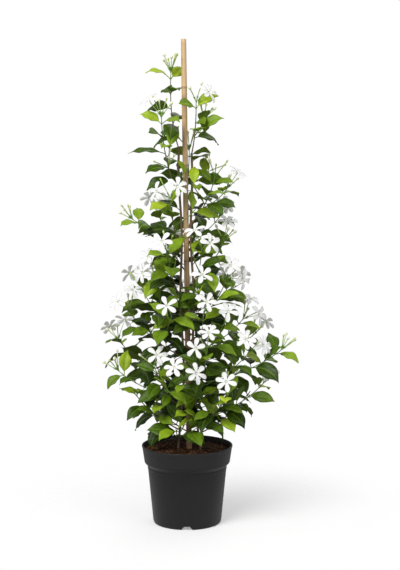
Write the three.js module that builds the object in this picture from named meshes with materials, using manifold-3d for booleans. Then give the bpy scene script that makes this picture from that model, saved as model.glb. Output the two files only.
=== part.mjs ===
// A flowering arabian jasmine in a round nursery pot, trained up one bamboo cane.
// Millimetres, +Z up. -Y is the front. The origin is on the surface that the pot stands on, under
// the middle of the whole plant's breadth. Places below are measured from the pot's axis.
// The plant has three woody stems tied to the cane. Each branch is one grown piece with its
// leaves, and each flower cluster sits at the end of a branch.
import * as THREE from "three";
import { mergeVertices } from "three/addons/utils/BufferGeometryUtils.js";
import Module from "manifold-3d";

const wasm = await Module();
wasm.setup();
const { Manifold, Mesh: SolidMesh } = wasm;

// Pot
const POT_HEIGHT = 147;
const RIM_RADIUS = 85;
const BAND_LOW_RADIUS = 80; // the rim band narrows to this
const BAND_HEIGHT = 32;
const STEP_HEIGHT = 6; // the slope from the band in to the body
const STEP_RISE = 1; // the inside of the step is this much higher
const BODY_TOP_RADIUS = 74;
const BASE_RADIUS = 64;
const BASE_CORNER = 3;
const ROUND = 0.3; // where a round corner's middle lies between its ends, as a share of its size
const WALL = 1.6;
const FLOOR_UNDERSIDE = 7.4; // the floor stands clear of the ground on the foot ring
const FOOT_WIDTH = 3.2;
const FOOT_SLOPE = 1; // how much the foot ring widens towards the floor
const POT_SIDES = 36;
const NOTCHES = 4;
const NOTCH = { low: 10.8, high: 5, height: 6.9, depth: 14, proud: 2 }; // low and high are half widths
const DRAINS = { count: 8, radius: 4.5, ring: 44 };
const DRAIN_SIDES = 8;
const LIP = 0.8; // how far the lip stands out
const LIP_HEIGHT = 3;
const BAND_LOW = POT_HEIGHT - BAND_HEIGHT;
const BODY_TOP = BAND_LOW - STEP_HEIGHT;
const FLOOR_TOP = FLOOR_UNDERSIDE + WALL;
const FLOOR_RADIUS = BASE_RADIUS + ((BODY_TOP_RADIUS - BASE_RADIUS) * FLOOR_TOP) / BODY_TOP - WALL;
const POT_PLACE = [-17, -24]; // the pot's axis, from the middle of the whole plant's breadth

// Soil
const GAP = 0.35; // clearance between pieces that touch
const SOIL_LEVEL = 138;
const SOIL_CROWN = 3; // the middle is this much higher than the edge
const SOIL_TOP = [[1, 0], [0.7, 0.7], [0.3, 1], [0, 0.9]]; // shares of the way out, and of the crown
const SOIL_SLACK = GAP + 0.25; // to the faceted wall
const SOIL_SIDES = 24;
const SOIL_DEEP = 34; // how deep the stems are planted

// Cane
const CANE_FOOT_Z = 12;
const CANE_LENGTH = 885;
const CANE_SOIL_X = 3.7; // where it leaves the soil
const CANE_TOP_X = -5.9;
const CANE_LOW_RADIUS = 5.3;
const CANE_TOP_RADIUS = 4.8;
const CANE_SIDES = 10;
const CANE_KNOTS = [148, 318, 492, 668, 810]; // heights of its nodes
const KNOT_RISE = 0.7;
const KNOT_HALF = 3;

// Stems and their ties
const STEM_RADIUS = 2.2;
const STEM_CLEAR = 0.6; // to the cane, at a tie
const STEM_BULGE = 4.5; // how far a stem stands off between ties
const STEM_SIDES = 6;
const STEM_STEPS = 12;
const STEM_TURN_RISE = 560; // a stem turns round the cane by its whole turn over this height
const SOIL_SPREAD = 11; // extra distance from the cane at the soil
const SPREAD_HEIGHT = 120; // the stems draw in to the cane over this height
const TIE_HEIGHTS = { lower_tie: 300, upper_tie: 538 };
const TIE_SPACING = TIE_HEIGHTS.upper_tie - TIE_HEIGHTS.lower_tie;
const TIE_WIRE = 1.3;
const TIE_REACH = CANE_LOW_RADIUS + 2 * STEM_RADIUS + STEM_CLEAR + GAP;
const TIE_SIDES = 20;

// Branches
const BRANCH_RADIUS = 1.25;
const BRANCH_SIDES = 4;
const BRANCH_STEPS = 4;
const BOW_OUT = 0.1; // how far a branch bows outward, as a share of its reach
const BOW_DOWN = 0.09; // and downward
const SHOOT_FROM = 0.4; // how far along a branch its first side shoot leaves it, as a share
const SHOOT_STEP = 0.1; // and how much further each next one does
const AXIS_STEPS = 24;
const BACK_FROM = 25; // what lies further back than this belongs to the back

// Leaves
const LEAF_PAIRS = 7; // at most, on one shoot
const LEAF_FIRST = 9; // from a tip back to its first pair of leaves
const LEAF_SPACING = 27;
const LEAF_LAST = 14; // the least distance from a shoot's start to its last pair
const STEM_LEAF_FIRST = 16;
const STEM_LEAF_SPACING = 52; // between the pairs at a stem's top
const STEM_LEAF_CLOSER = 1.1; // half of how much closer each next pair down is
const STEM_LEAF_LAST = 30; // the least height of a stem's last pair over the soil
const TIE_ROOM = 10; // a stem has no leaves this near a tie
const LEAF_LENGTH = 62;
const LEAF_HALF_WIDTH = 0.21; // as a share of its length
const PETIOLE = 0.14; // as a share of its length
const BLADE_FORM = { narrowest: 0.05, skew: 0.78, fullness: 0.85, taper: 0.22 };
const ARCH_GROWTH = 1.15; // over 1, a leaf arches more towards its tip
const LEAF_FORWARD = 0.5; // how far a leaf leans along its shoot
const LEAF_LEVEL = 0.75; // the share of its shoot's steepness that a leaf takes
const LEAF_LOWEST = -12; // degrees, the most that a leaf starts downward
const PAIR_TURN = 38; // degrees from the level way that a shoot's first pair is turned
const YOUNG_PAIRS = 2; // this many pairs behind a tip are still young
const YOUNG_SHORTER = 0.2;
const YOUNG_LIFT = 12; // degrees that a young leaf stands up more
const BLADE_TURN = 38; // degrees that a blade leans out to the front or the back
const LEAF_ROOT = 0.5; // how far off its shoot's middle a leaf starts, as a share of the shoot's radius
const LEAF_STEPS = 12;
const LEAF_RINGS = [2, 6]; // the steps where a leaf's solid has its sections
const LEAF_LEAST_HALF = 0.9; // of a section
const LEAF_RAISE = 0.25; // how far a section's edges stand over its middle, apart from the fold
const KEEL = 0.7; // depth of a leaf's midrib
const LEAF_SAMPLES = [-0.95, -0.5, 0, 0.5, 0.95]; // places across a blade where room is tested
const LEAF_MARGIN = 2.1; // half the least distance between the sample points of two leaves

// What varies from leaf to leaf and from bud to bud: the least and the most. Angles are in degrees.
const VARIES = {
  pairTurn: [-25, 25],
  leafSize: [0.86, 1.14],
  lift: [2, 20],
  bend: [38, 80],
  curl: [-15, 15],
  roll: [-22, 22],
  fold: [0.12, 0.28],
  girth: [0.9, 1.1],
  budOpen: [14, 42],
  budReach: [0.72, 1.05],
};

// Flowers and buds
const TUBE_RADIUS = 0.9; // of a flower or bud below its head
const SEAT_RADIUS = 1.5; // the short stub that a cluster's tubes grow from
const PETALS = 5;
const FLOWER_RADIUS = 21.5;
const STAR = { waist: 0.45, back: 1.6, front: 0.8 }; // a share of the radius; depths of its middle
const NECK = 3; // length of the last stretch of a flower's tube
const FLOWER_TURN = 0.5; // how far its face turns out from the line of its tube
const BUD_RADIUS = 2.6;
const BUD_SWELL = [0.7, 1.15]; // a bud's head as a share of that radius, from its youngest to its ripest
const BUD_NECK = 3; // from a bud's tube to its tip, in head radii
const BUD_REACH = 40;
const BUD_TURN = 2.4; // radians round the cluster from one bud to the next
const BUD_LIFT = 0.7; // how far a cluster's buds turn upward

// Room that leaves leave: round wood, tubes, petals and ties, over the soil and the pot's rim, and
// round the pot
const TAKEN_STEP = 4; // between the points that stand for a curve
const WOOD_ROOM = 0.5;
const TUBE_ROOM = 2;
const RING_ROOM = 2.2;
const PETAL_RINGS = [0.35, 0.65, 0.95]; // shares of a flower's radius
const PETAL_SPOKES = 10;
const TIE_SPOKES = 18;
const TIE_PROUD = 1;
const INSIDE_RIM = RIM_RADIUS - 8;
const OUTSIDE_RIM = RIM_RADIUS + 9;
const SOIL_ROOM = 1.5;
const RIM_ROOM = 13;
const HANG_LOW = POT_HEIGHT + 15; // leaves outside the pot hang no lower
const CANE_SHOWS = [[141, 160], [335, 370], [448, 526], [541, 622], [678, 775]]; // spans of its height

// Each stem: its angle round the cane in degrees at the soil, how far it turns on the way up,
// and the height of its top.
const STEMS = {
  left: { angle: 200, turn: -25, top: 700 },
  right: { angle: -20, turn: 30, top: 690 },
  back: { angle: 90, turn: 20, top: 600 },
};

// Each branch: the stem it grows from, the height there, and its tips. A tip has its place,
// the middles of its open flowers, and how many buds stand with them.
const BRANCHES = [
  { name: "top_left", stem: "left", z: 698, tips: [{ at: [-29, -10, 833], flowers: [], buds: 8 }] },
  {
    name: "upper_left",
    stem: "left",
    z: 610,
    tips: [
      { at: [-46, -18, 752], flowers: [[-69, -16, 786]], buds: 4 },
      { at: [-34, -24, 664], flowers: [], buds: 4 },
      { at: [-30, -34, 706], flowers: [], buds: 0 },
      { at: [-16, -28, 676], flowers: [], buds: 0 },
    ],
  },
  {
    name: "upper_right",
    stem: "right",
    z: 688,
    tips: [
      { at: [17, -14, 780], flowers: [[41, -22, 800]], buds: 3 },
      { at: [30, 4, 748], flowers: [], buds: 5 },
      { at: [26, -36, 728], flowers: [], buds: 0 },
      { at: [14, -22, 734], flowers: [], buds: 0 },
    ],
  },
  {
    name: "high_right",
    stem: "right",
    z: 560,
    tips: [
      { at: [50, 8, 641], flowers: [], buds: 4 },
      { at: [72, 20, 622], flowers: [[94, 24, 655]], buds: 3 },
      { at: [28, -44, 612], flowers: [], buds: 0 },
      { at: [10, -34, 636], flowers: [], buds: 0 },
    ],
  },
  {
    name: "high_left",
    stem: "left",
    z: 505,
    tips: [
      { at: [-30, -38, 606], flowers: [[-16, -62, 632], [-55, -46, 622]], buds: 2 },
      { at: [-96, -20, 568], flowers: [], buds: 5 },
      { at: [-22, -44, 560], flowers: [], buds: 0 },
      { at: [16, -40, 590], flowers: [], buds: 0 },
    ],
  },
  {
    name: "middle_left",
    stem: "left",
    z: 425,
    tips: [
      { at: [-36, -58, 512], flowers: [[-44, -86, 535]], buds: 2 },
      { at: [-54, -24, 462], flowers: [[-70, -40, 505], [-82, -42, 474]], buds: 2 },
      { at: [-26, -54, 476], flowers: [], buds: 0 },
      { at: [-20, -38, 500], flowers: [], buds: 0 },
    ],
  },
  {
    name: "middle_right",
    stem: "right",
    z: 435,
    tips: [
      { at: [27, -44, 514], flowers: [[14, -56, 553], [43, -72, 530]], buds: 2 },
      { at: [66, 2, 524], flowers: [[75, -2, 566]], buds: 4 },
      { at: [46, -40, 482], flowers: [], buds: 0 },
      { at: [10, -36, 520], flowers: [], buds: 0 },
    ],
  },
  {
    name: "inner_right",
    stem: "right",
    z: 372,
    tips: [
      { at: [72, -18, 458], flowers: [[80, -46, 488], [102, -34, 462]], buds: 3 },
      { at: [20, -50, 442], flowers: [[29, -76, 474]], buds: 2 },
      { at: [52, -62, 424], flowers: [], buds: 0 },
      { at: [16, -40, 440], flowers: [], buds: 0 },
    ],
  },
  {
    name: "wide_left",
    stem: "left",
    z: 312,
    tips: [
      { at: [-104, 6, 392], flowers: [[-100, 2, 438], [-127, -10, 418]], buds: 4 },
      { at: [-28, -64, 396], flowers: [[-35, -94, 420]], buds: 1 },
      { at: [-66, -44, 372], flowers: [], buds: 0 },
      { at: [-46, -34, 428], flowers: [], buds: 0 },
    ],
  },
  {
    name: "wide_right",
    stem: "right",
    z: 276,
    tips: [
      { at: [30, -56, 396], flowers: [[36, -84, 426]], buds: 1 },
      { at: [66, -36, 376], flowers: [[76, -64, 406]], buds: 2 },
      { at: [102, 10, 380], flowers: [[118, 18, 420], [134, 0, 392]], buds: 3 },
      { at: [52, -72, 344], flowers: [], buds: 0 },
      { at: [20, -48, 352], flowers: [], buds: 0 },
      { at: [-16, -40, 400], flowers: [], buds: 0 },
    ],
  },
  {
    name: "front_right",
    stem: "right",
    z: 225,
    tips: [
      { at: [36, -92, 334], flowers: [[40, -108, 374], [16, -118, 347]], buds: 2 },
      { at: [112, -22, 322], flowers: [[108, -50, 353], [140, -36, 340]], buds: 2 },
      { at: [172, -4, 324], flowers: [], buds: 5 },
      { at: [8, -56, 306], flowers: [], buds: 0 },
    ],
  },
  {
    name: "front_left",
    stem: "left",
    z: 215,
    tips: [
      { at: [-58, -46, 298], flowers: [[-54, -74, 328]], buds: 3 },
      { at: [-124, -12, 286], flowers: [], buds: 5 },
      { at: [-2, -98, 282], flowers: [[-22, -122, 314], [18, -124, 303]], buds: 1 },
      { at: [-34, -84, 262], flowers: [], buds: 0 },
      { at: [-22, -48, 244], flowers: [], buds: 0 },
    ],
  },
  {
    name: "low_right",
    stem: "right",
    z: 185,
    tips: [
      { at: [74, -84, 256], flowers: [[71, -113, 286]], buds: 2 },
      { at: [140, -6, 262], flowers: [[152, -30, 288]], buds: 4 },
      { at: [44, -74, 226], flowers: [], buds: 0 },
      { at: [18, -56, 252], flowers: [], buds: 0 },
    ],
  },
  {
    name: "base_left",
    stem: "left",
    z: 176,
    tips: [
      { at: [-98, -22, 250], flowers: [], buds: 0 },
      { at: [-58, -46, 208], flowers: [], buds: 0 },
      { at: [-44, -48, 236], flowers: [], buds: 0 },
    ],
  },
  {
    name: "base_right",
    stem: "right",
    z: 168,
    tips: [
      { at: [118, 2, 248], flowers: [], buds: 0 },
      { at: [58, -38, 204], flowers: [], buds: 0 },
      { at: [60, -16, 232], flowers: [], buds: 0 },
    ],
  },
  {
    name: "base_front",
    stem: "left",
    z: 158,
    tips: [
      { at: [-20, -62, 190], flowers: [], buds: 0 },
      { at: [26, -66, 200], flowers: [], buds: 0 },
      { at: [4, -58, 224], flowers: [], buds: 0 },
    ],
  },
  {
    name: "back_top",
    stem: "back",
    z: 598,
    tips: [
      { at: [4, 34, 692], flowers: [], buds: 5 },
      { at: [38, 52, 654], flowers: [], buds: 3 },
    ],
  },
  {
    name: "back_high",
    stem: "back",
    z: 472,
    tips: [
      { at: [-52, 64, 572], flowers: [[-72, 84, 606], [-40, 88, 600]], buds: 2 },
      { at: [58, 66, 566], flowers: [[72, 94, 592]], buds: 3 },
      { at: [2, 92, 516], flowers: [[14, 122, 544], [-24, 116, 540]], buds: 2 },
      { at: [-20, 66, 546], flowers: [], buds: 0 },
    ],
  },
  {
    name: "back_middle",
    stem: "back",
    z: 340,
    tips: [
      { at: [-88, 82, 432], flowers: [[-112, 104, 460], [-80, 112, 466]], buds: 2 },
      { at: [82, 92, 428], flowers: [[104, 118, 458], [70, 124, 456]], buds: 2 },
      { at: [-8, 124, 404], flowers: [[4, 154, 436], [-36, 150, 424]], buds: 3 },
      { at: [-36, 88, 384], flowers: [], buds: 0 },
    ],
  },
  {
    name: "back_wide",
    stem: "back",
    z: 245,
    tips: [
      { at: [-130, 82, 330], flowers: [[-150, 96, 356], [-122, 110, 368]], buds: 2 },
      { at: [124, 104, 336], flowers: [[152, 118, 364]], buds: 3 },
      { at: [34, 142, 326], flowers: [[50, 172, 354], [14, 172, 352]], buds: 2 },
      { at: [-58, 98, 296], flowers: [], buds: 0 },
    ],
  },
  {
    name: "back_low",
    stem: "back",
    z: 200,
    tips: [
      { at: [-62, 130, 276], flowers: [], buds: 4 },
      { at: [86, 124, 252], flowers: [], buds: 4 },
      { at: [-12, 98, 252], flowers: [], buds: 0 },
      { at: [34, 84, 236], flowers: [], buds: 0 },
    ],
  },
  {
    name: "base_back",
    stem: "back",
    z: 166,
    tips: [
      { at: [-84, 60, 234], flowers: [], buds: 0 },
      { at: [-14, 112, 204], flowers: [], buds: 0 },
      { at: [94, 56, 236], flowers: [], buds: 0 },
    ],
  },
];

// Small vector helpers on [x, y, z]
const add = (a, b, k = 1) => [a[0] + b[0] * k, a[1] + b[1] * k, a[2] + b[2] * k];
const sub = (a, b) => add(a, b, -1);
const scaled = (a, k) => [a[0] * k, a[1] * k, a[2] * k];
const dot = (a, b) => a[0] * b[0] + a[1] * b[1] + a[2] * b[2];
const cross = (a, b) => [
  a[1] * b[2] - a[2] * b[1],
  a[2] * b[0] - a[0] * b[2],
  a[0] * b[1] - a[1] * b[0],
];
const size = (a) => Math.sqrt(dot(a, a));
const unit = (a) => scaled(a, 1 / size(a));
const radians = (degrees) => (degrees * Math.PI) / 180;
const mix = (a, b, t) => a + (b - a) * t;
const EAST = [1, 0, 0];
const NORTH = [0, 1, 0];

// The direction at an angle from the first of two unit vectors towards the second.
const between = (first, second, angle) => add(scaled(first, Math.cos(angle)), second, Math.sin(angle));

// A repeatable number from 0 to 1 for whole-number keys.
function chance(...keys) {
  let h = 2166136261;
  for (const key of keys) {
    h = Math.imul(h ^ (key + 101), 16777619) >>> 0;
    h = (h ^ (h >>> 13)) >>> 0;
    h = Math.imul(h, 1274126177) >>> 0;
    h = (h ^ (h >>> 16)) >>> 0;
  }
  return h / 4294967296;
}

const varied = (what, ...keys) => mix(...VARIES[what], chance(...keys));

// Two unit vectors square to a direction; the first is level.
function squares(direction) {
  const level = Math.abs(direction[2]) > 0.999 ? EAST : unit([-direction[1], direction[0], 0]);
  return [level, cross(direction, level)];
}

// The cane's middle at a height.
function caneAt(z) {
  const share = (z - SOIL_LEVEL) / (CANE_FOOT_Z + CANE_LENGTH - SOIL_LEVEL);
  return [mix(CANE_SOIL_X, CANE_TOP_X, share), 0, z];
}

// A stem's middle at a height: it follows the cane, stands off between ties and spreads at the soil.
function stemAt(name, z) {
  const { angle, turn } = STEMS[name];
  const turned = radians(angle + (turn * (z - SOIL_LEVEL)) / STEM_TURN_RISE);
  const wave = Math.sin((Math.PI * (z - TIE_HEIGHTS.lower_tie)) / TIE_SPACING);
  const low = Math.max(0, 1 - (z - SOIL_LEVEL) / SPREAD_HEIGHT);
  const close = CANE_LOW_RADIUS + STEM_RADIUS + STEM_CLEAR;
  const off = close + STEM_BULGE * wave ** 2 + SOIL_SPREAD * low ** 2;
  return add(caneAt(z), between(EAST, NORTH, turned), off);
}

// A curve that leaves its start flatter than it reaches its tip.
function bowed(start, tip) {
  const across = [tip[0] - start[0], tip[1] - start[1], 0];
  const reach = size(sub(tip, start));
  const outward = size(across) > 1 ? unit(across) : [0, 0, 0];
  const middle = scaled(add(start, tip), 0.5);
  const control = add(add(middle, outward, BOW_OUT * reach), [0, 0, -BOW_DOWN * reach]);
  const bow = new THREE.QuadraticBezierCurve3(...[start, control, tip].map((p) => new THREE.Vector3(...p)));
  return bow.getPoints(AXIS_STEPS).map((p) => p.toArray());
}

function lengthOf(points) {
  let total = 0;
  for (let i = 1; i < points.length; i++) total += size(sub(points[i], points[i - 1]));
  return total;
}

// The point and direction at a distance back from a curve's end.
function fromEnd(points, distance) {
  let left = distance;
  for (let i = points.length - 1; i > 0; i--) {
    const step = sub(points[i], points[i - 1]);
    const span = size(step);
    if (left <= span) return { at: add(points[i], step, -left / span), along: unit(step) };
    left -= span;
  }
  return { at: points[0], along: unit(sub(points[1], points[0])) };
}

// Every leaf grows from a node: a place, a heading round the vertical, a rise and a length.
// bend is how far it arches down along its length, and roll turns its blade.
function leafMid(leaf) {
  const points = [leaf.at];
  const tangents = [];
  for (let i = 0; i < LEAF_STEPS; i++) {
    const t = (i + 0.5) / LEAF_STEPS;
    const rise = leaf.rise - leaf.bend * Math.pow(t, ARCH_GROWTH);
    const heading = leaf.heading + leaf.curl * t * t;
    const along = [
      Math.cos(rise) * Math.cos(heading),
      Math.cos(rise) * Math.sin(heading),
      Math.sin(rise),
    ];
    points.push(add(points[i], along, leaf.length / LEAF_STEPS));
    tangents.push(along);
  }
  tangents.push(tangents[LEAF_STEPS - 1]);
  return { points, tangents };
}

// Half the blade's width, as a share of its widest, at a share of its length.
function bladeShape(t) {
  const { narrowest, skew, fullness, taper } = BLADE_FORM;
  if (t <= PETIOLE) return narrowest;
  const s = (t - PETIOLE) / (1 - PETIOLE);
  const full = Math.pow(Math.sin(Math.PI * Math.pow(s, skew)), fullness);
  return Math.max(narrowest, full * (1 - taper * s ** 3));
}

// The frame of a blade at one of its steps: side is across it and normal is out of its upper face.
function bladeFrame(mid, roll, i) {
  const along = mid.tangents[i];
  const side = between(...squares(along), roll);
  return { at: mid.points[i], side, normal: cross(along, side) };
}

// Points spread over a blade, which stand for it when room is tested.
function leafSamples(leaf) {
  const mid = leafMid(leaf);
  const found = [];
  for (let i = 2; i <= LEAF_STEPS; i++) {
    const half = bladeShape(i / LEAF_STEPS) * leaf.half;
    const { at, side, normal } = bladeFrame(mid, leaf.roll, i);
    for (const u of LEAF_SAMPLES) {
      const raise = Math.abs(u) * half * leaf.fold;
      found.push(add(add(at, side, u * half), normal, raise));
    }
  }
  return found;
}

// What the plant must stay clear of, as points with a radius.
const taken = [];

function takeCurve(points, radius) {
  const total = lengthOf(points);
  const count = Math.max(1, Math.round(total / TAKEN_STEP));
  for (let i = 0; i <= count; i++) taken.push([...fromEnd(points, (total * i) / count).at, radius]);
}

// The lowest that a leaf may hang at a place.
function lowestAt(p) {
  const out = Math.sqrt(p[0] * p[0] + p[1] * p[1]);
  if (out < INSIDE_RIM) return SOIL_LEVEL + SOIL_CROWN + SOIL_ROOM;
  return out < OUTSIDE_RIM ? POT_HEIGHT + RIM_ROOM : HANG_LOW;
}

// Whether a place hides the cane from the front in one of the spans where it shows.
function hidesCane(p) {
  if (p[1] > 0 || Math.abs(p[0] - caneAt(p[2])[0]) > CANE_LOW_RADIUS) return false;
  return CANE_SHOWS.some(([low, high]) => p[2] > low && p[2] < high);
}

// Whether a leaf's points are clear of the pot, the soil, the front of the cane and everything taken.
function hasRoom(points) {
  for (const p of points) {
    if (p[2] <= lowestAt(p) || hidesCane(p)) return false;
    for (const q of taken) {
      const far = q[3] + LEAF_MARGIN;
      const [dx, dy, dz] = [p[0] - q[0], p[1] - q[1], p[2] - q[2]];
      if (dx * dx + dy * dy + dz * dz <= far * far) return false;
    }
  }
  return true;
}

// Ways to turn a leaf that finds no room: change of heading, rise, roll in degrees, and length.
const TRIES = [
  [0, 0, 0, 1],
  [14, 6, 10, 1],
  [-14, 6, -10, 1],
  [0, 18, 0, 1],
  [0, -18, 0, 1],
  [28, 0, 18, 0.97],
  [-28, 0, -18, 0.97],
  [16, 22, -22, 0.95],
  [-16, 22, 22, 0.95],
  [18, -22, 0, 0.95],
  [-18, -22, 0, 0.95],
  [40, 10, 0, 0.9],
  [-40, 10, 0, 0.9],
  [0, 30, 30, 0.88],
  [0, 30, -30, 0.88],
  [52, -8, 10, 0.82],
  [-52, -8, -10, 0.82],
];

function placeLeaf(wish) {
  for (const [heading, rise, roll, scale] of TRIES) {
    const leaf = {
      ...wish,
      heading: wish.heading + radians(heading),
      rise: wish.rise + radians(rise),
      roll: wish.roll + radians(roll),
      length: wish.length * scale,
      half: wish.half * scale,
    };
    const points = leafSamples(leaf);
    if (hasRoom(points)) {
      for (const p of points) taken.push([...p, LEAF_MARGIN]);
      return leaf;
    }
  }
  return null;
}

// The level direction that a place on the plant looks out to: the front, or the back behind the cane.
const outlook = (at) => [0, at[1] > BACK_FROM ? 1 : -1, 0];

// A pair of leaves at one node of a curve. Pairs alternate by a quarter turn up the shoot.
function leafPair(points, distance, index, keys, young) {
  const { at, along } = fromEnd(points, distance);
  const [level, steep] = squares(along);
  const turn = radians(PAIR_TURN + 90 * (index % 2) + varied("pairTurn", ...keys, 1));
  const found = [];
  for (const side of [1, -1]) {
    const k = [...keys, side + 5];
    const across = scaled(between(level, steep, turn), side);
    const out = unit(add(across, along, LEAF_FORWARD));
    const length = LEAF_LENGTH * varied("leafSize", ...k, 2) * (1 - YOUNG_SHORTER * young);
    const lean = -(out[0] / Math.hypot(out[0], out[1])) * outlook(at)[1];
    const start = Math.max(Math.asin(out[2]) * LEAF_LEVEL, radians(LEAF_LOWEST));
    const leaf = placeLeaf({
      at: add(at, across, LEAF_ROOT * BRANCH_RADIUS),
      heading: Math.atan2(out[1], out[0]),
      rise: start + radians(varied("lift", ...k, 3) + YOUNG_LIFT * young),
      bend: radians(varied("bend", ...k, 4)),
      curl: radians(varied("curl", ...k, 5)),
      roll: radians(BLADE_TURN * lean + varied("roll", ...k, 6)),
      fold: varied("fold", ...k, 7),
      length,
      half: length * LEAF_HALF_WIDTH * varied("girth", ...k, 8),
    });
    if (leaf) found.push(leaf);
  }
  return found;
}

// The members of a cluster: tubes that end in open flowers or in buds.
function clusterOf(tip, points, keys) {
  const { along } = fromEnd(points, 0);
  const start = add(tip.at, along, GAP + SEAT_RADIUS);
  const flowers = tip.flowers.map((at) => {
    const along = unit(sub(at, start));
    return { start, at, along, facing: unit(add(along, outlook(at), FLOWER_TURN)) };
  });
  const lean = unit(add(along, [0, 0, BUD_LIFT]));
  const [level, steep] = squares(lean);
  const buds = [];
  for (let i = 0; i < tip.buds; i++) {
    const round = BUD_TURN * i + 2 * Math.PI * chance(...keys, 1);
    const open = radians(varied("budOpen", ...keys, i, 2));
    const facing = between(lean, between(level, steep, round), open);
    const reach = BUD_REACH * varied("budReach", ...keys, i, 3);
    buds.push({ start, at: add(start, facing, reach), along: facing, grown: chance(...keys, i, 4) });
  }
  return { start, along, flowers, buds };
}

// Takes the room of a ring of points round a place.
function takeRing(at, [first, second], reach, spokes) {
  for (let i = 0; i < spokes; i++) {
    const out = between(first, second, (2 * Math.PI * i) / spokes);
    taken.push([...add(at, out, reach), RING_ROOM]);
  }
}

function takeCluster(cluster) {
  for (const flower of cluster.flowers) {
    takeCurve([flower.start, flower.at], TUBE_ROOM);
    for (const share of PETAL_RINGS)
      takeRing(flower.at, squares(flower.facing), share * FLOWER_RADIUS, PETAL_SPOKES);
  }
  for (const bud of cluster.buds) takeCurve([bud.start, bud.at], TUBE_ROOM);
}

// Takes the room of the cane, the ties, the stems and the branches, each a little more than its radius.
function takeWood(stems, branches) {
  takeCurve([caneAt(SOIL_LEVEL), caneAt(CANE_FOOT_Z + CANE_LENGTH)], CANE_LOW_RADIUS + WOOD_ROOM);
  for (const z of Object.values(TIE_HEIGHTS))
    takeRing(caneAt(z), [EAST, NORTH], TIE_REACH + TIE_PROUD, TIE_SPOKES);
  for (const stem of stems) takeCurve(stem.points, STEM_RADIUS + WOOD_ROOM);
  for (const branch of branches)
    for (const curve of branch.curves) takeCurve(curve, BRANCH_RADIUS + WOOD_ROOM);
}

// The curves of a branch: its first runs from a stem to its first tip, and its side shoots leave that.
function branchCurves(branch) {
  const curves = [];
  for (const [i, tip] of branch.tips.entries()) {
    const share = SHOOT_FROM + SHOOT_STEP * (i - 1);
    const from = i ? curves[0][Math.round(AXIS_STEPS * share)] : stemAt(branch.stem, branch.z);
    curves.push(bowed(from, tip.at));
  }
  return curves;
}

function stemPoints(name, low, high) {
  const points = [];
  for (let i = 0; i <= AXIS_STEPS; i++) points.push(stemAt(name, mix(low, high, i / AXIS_STEPS)));
  return points;
}

// The pairs of leaves down a stem, which stand closer together lower down.
function stemLeaves(stem, s) {
  const total = lengthOf(stem.points) - SOIL_DEEP;
  const leaves = [];
  for (let pair = 0; ; pair++) {
    const distance = STEM_LEAF_FIRST + pair * (STEM_LEAF_SPACING - STEM_LEAF_CLOSER * pair);
    if (distance + STEM_LEAF_LAST > total) return leaves;
    const height = fromEnd(stem.points, distance).at[2];
    if (Object.values(TIE_HEIGHTS).every((tie) => Math.abs(tie - height) > TIE_ROOM))
      leaves.push(...leafPair(stem.points, distance, pair, [90, s, pair], 0));
  }
}

// The whole plant: curves first, then clusters, then the leaves that find room.
function growPlant() {
  const stems = Object.keys(STEMS).map((name) => {
    return { name, points: stemPoints(name, SOIL_LEVEL - SOIL_DEEP, STEMS[name].top), leaves: [] };
  });
  const branches = BRANCHES.map((branch) => {
    return { ...branch, curves: branchCurves(branch), leaves: [], clusters: [] };
  });
  takeWood(stems, branches);
  for (const [b, branch] of branches.entries())
    for (const [c, tip] of branch.tips.entries()) {
      const cluster = clusterOf(tip, branch.curves[c], [b, c]);
      branch.clusters.push(cluster);
      takeCluster(cluster);
    }
  for (let pair = 0; pair < LEAF_PAIRS; pair++)
    for (const [b, branch] of branches.entries())
      for (const [c, curve] of branch.curves.entries()) {
        const distance = LEAF_FIRST + pair * LEAF_SPACING;
        const young = Math.max(0, 1 - pair / YOUNG_PAIRS);
        if (lengthOf(curve) - distance > LEAF_LAST)
          branch.leaves.push(...leafPair(curve, distance, pair + c, [b, c, pair], young));
      }
  for (const [s, stem] of stems.entries()) stem.leaves = stemLeaves(stem, s);
  return { stems, branches };
}

// A closed surface through rings of points; a ring of one point is a tip.
function loft(rings) {
  const position = rings.flat(2);
  const index = [];
  let low = 0;
  for (let r = 1; r < rings.length; r++) {
    const [count, next] = [rings[r - 1].length, rings[r].length];
    const high = low + count;
    const sides = Math.max(count, next);
    for (let i = 0; i < sides; i++) {
      const j = (i + 1) % sides;
      if (count > 1) index.push(low + i, low + j, high + (next > 1 ? j : 0));
      if (next > 1) index.push(low + (count > 1 ? i : 0), high + j, high + i);
    }
    low = high;
  }
  for (let i = 1; i < rings[0].length - 1; i++) index.push(0, i + 1, i);
  const last = rings[rings.length - 1].length;
  for (let i = 1; i < last - 1; i++) index.push(low, low + i, low + i + 1);
  const made = new THREE.BufferGeometry();
  made.setAttribute("position", new THREE.Float32BufferAttribute(position, 3));
  made.setIndex(index);
  return made;
}

function toSolid(geometry) {
  const plain = geometry.clone();
  plain.deleteAttribute("normal");
  plain.deleteAttribute("uv");
  const merged = mergeVertices(plain, 1e-4);
  const solid = new Manifold(
    new SolidMesh({
      numProp: 3,
      vertProperties: new Float32Array(merged.attributes.position.array),
      triVerts: new Uint32Array(merged.index.array),
    }),
  );
  if (solid.volume() < 0) throw new Error("a solid is inside out");
  return solid;
}

function toGeometry(solid) {
  const mesh = solid.getMesh();
  const made = new THREE.BufferGeometry();
  made.setAttribute("position", new THREE.BufferAttribute(mesh.vertProperties, 3));
  made.setIndex(new THREE.BufferAttribute(mesh.triVerts, 1));
  made.computeVertexNormals();
  return made;
}

const joined = (solids) => solids.reduce((whole, one) => whole.add(one));
const cut = (solid, holes) => holes.reduce((rest, hole) => rest.subtract(hole), solid);

// The largest of the bodies that a cut leaves.
function mainBody(solid) {
  return solid.decompose().reduce((best, body) => (body.volume() > best.volume() ? body : best));
}

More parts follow.
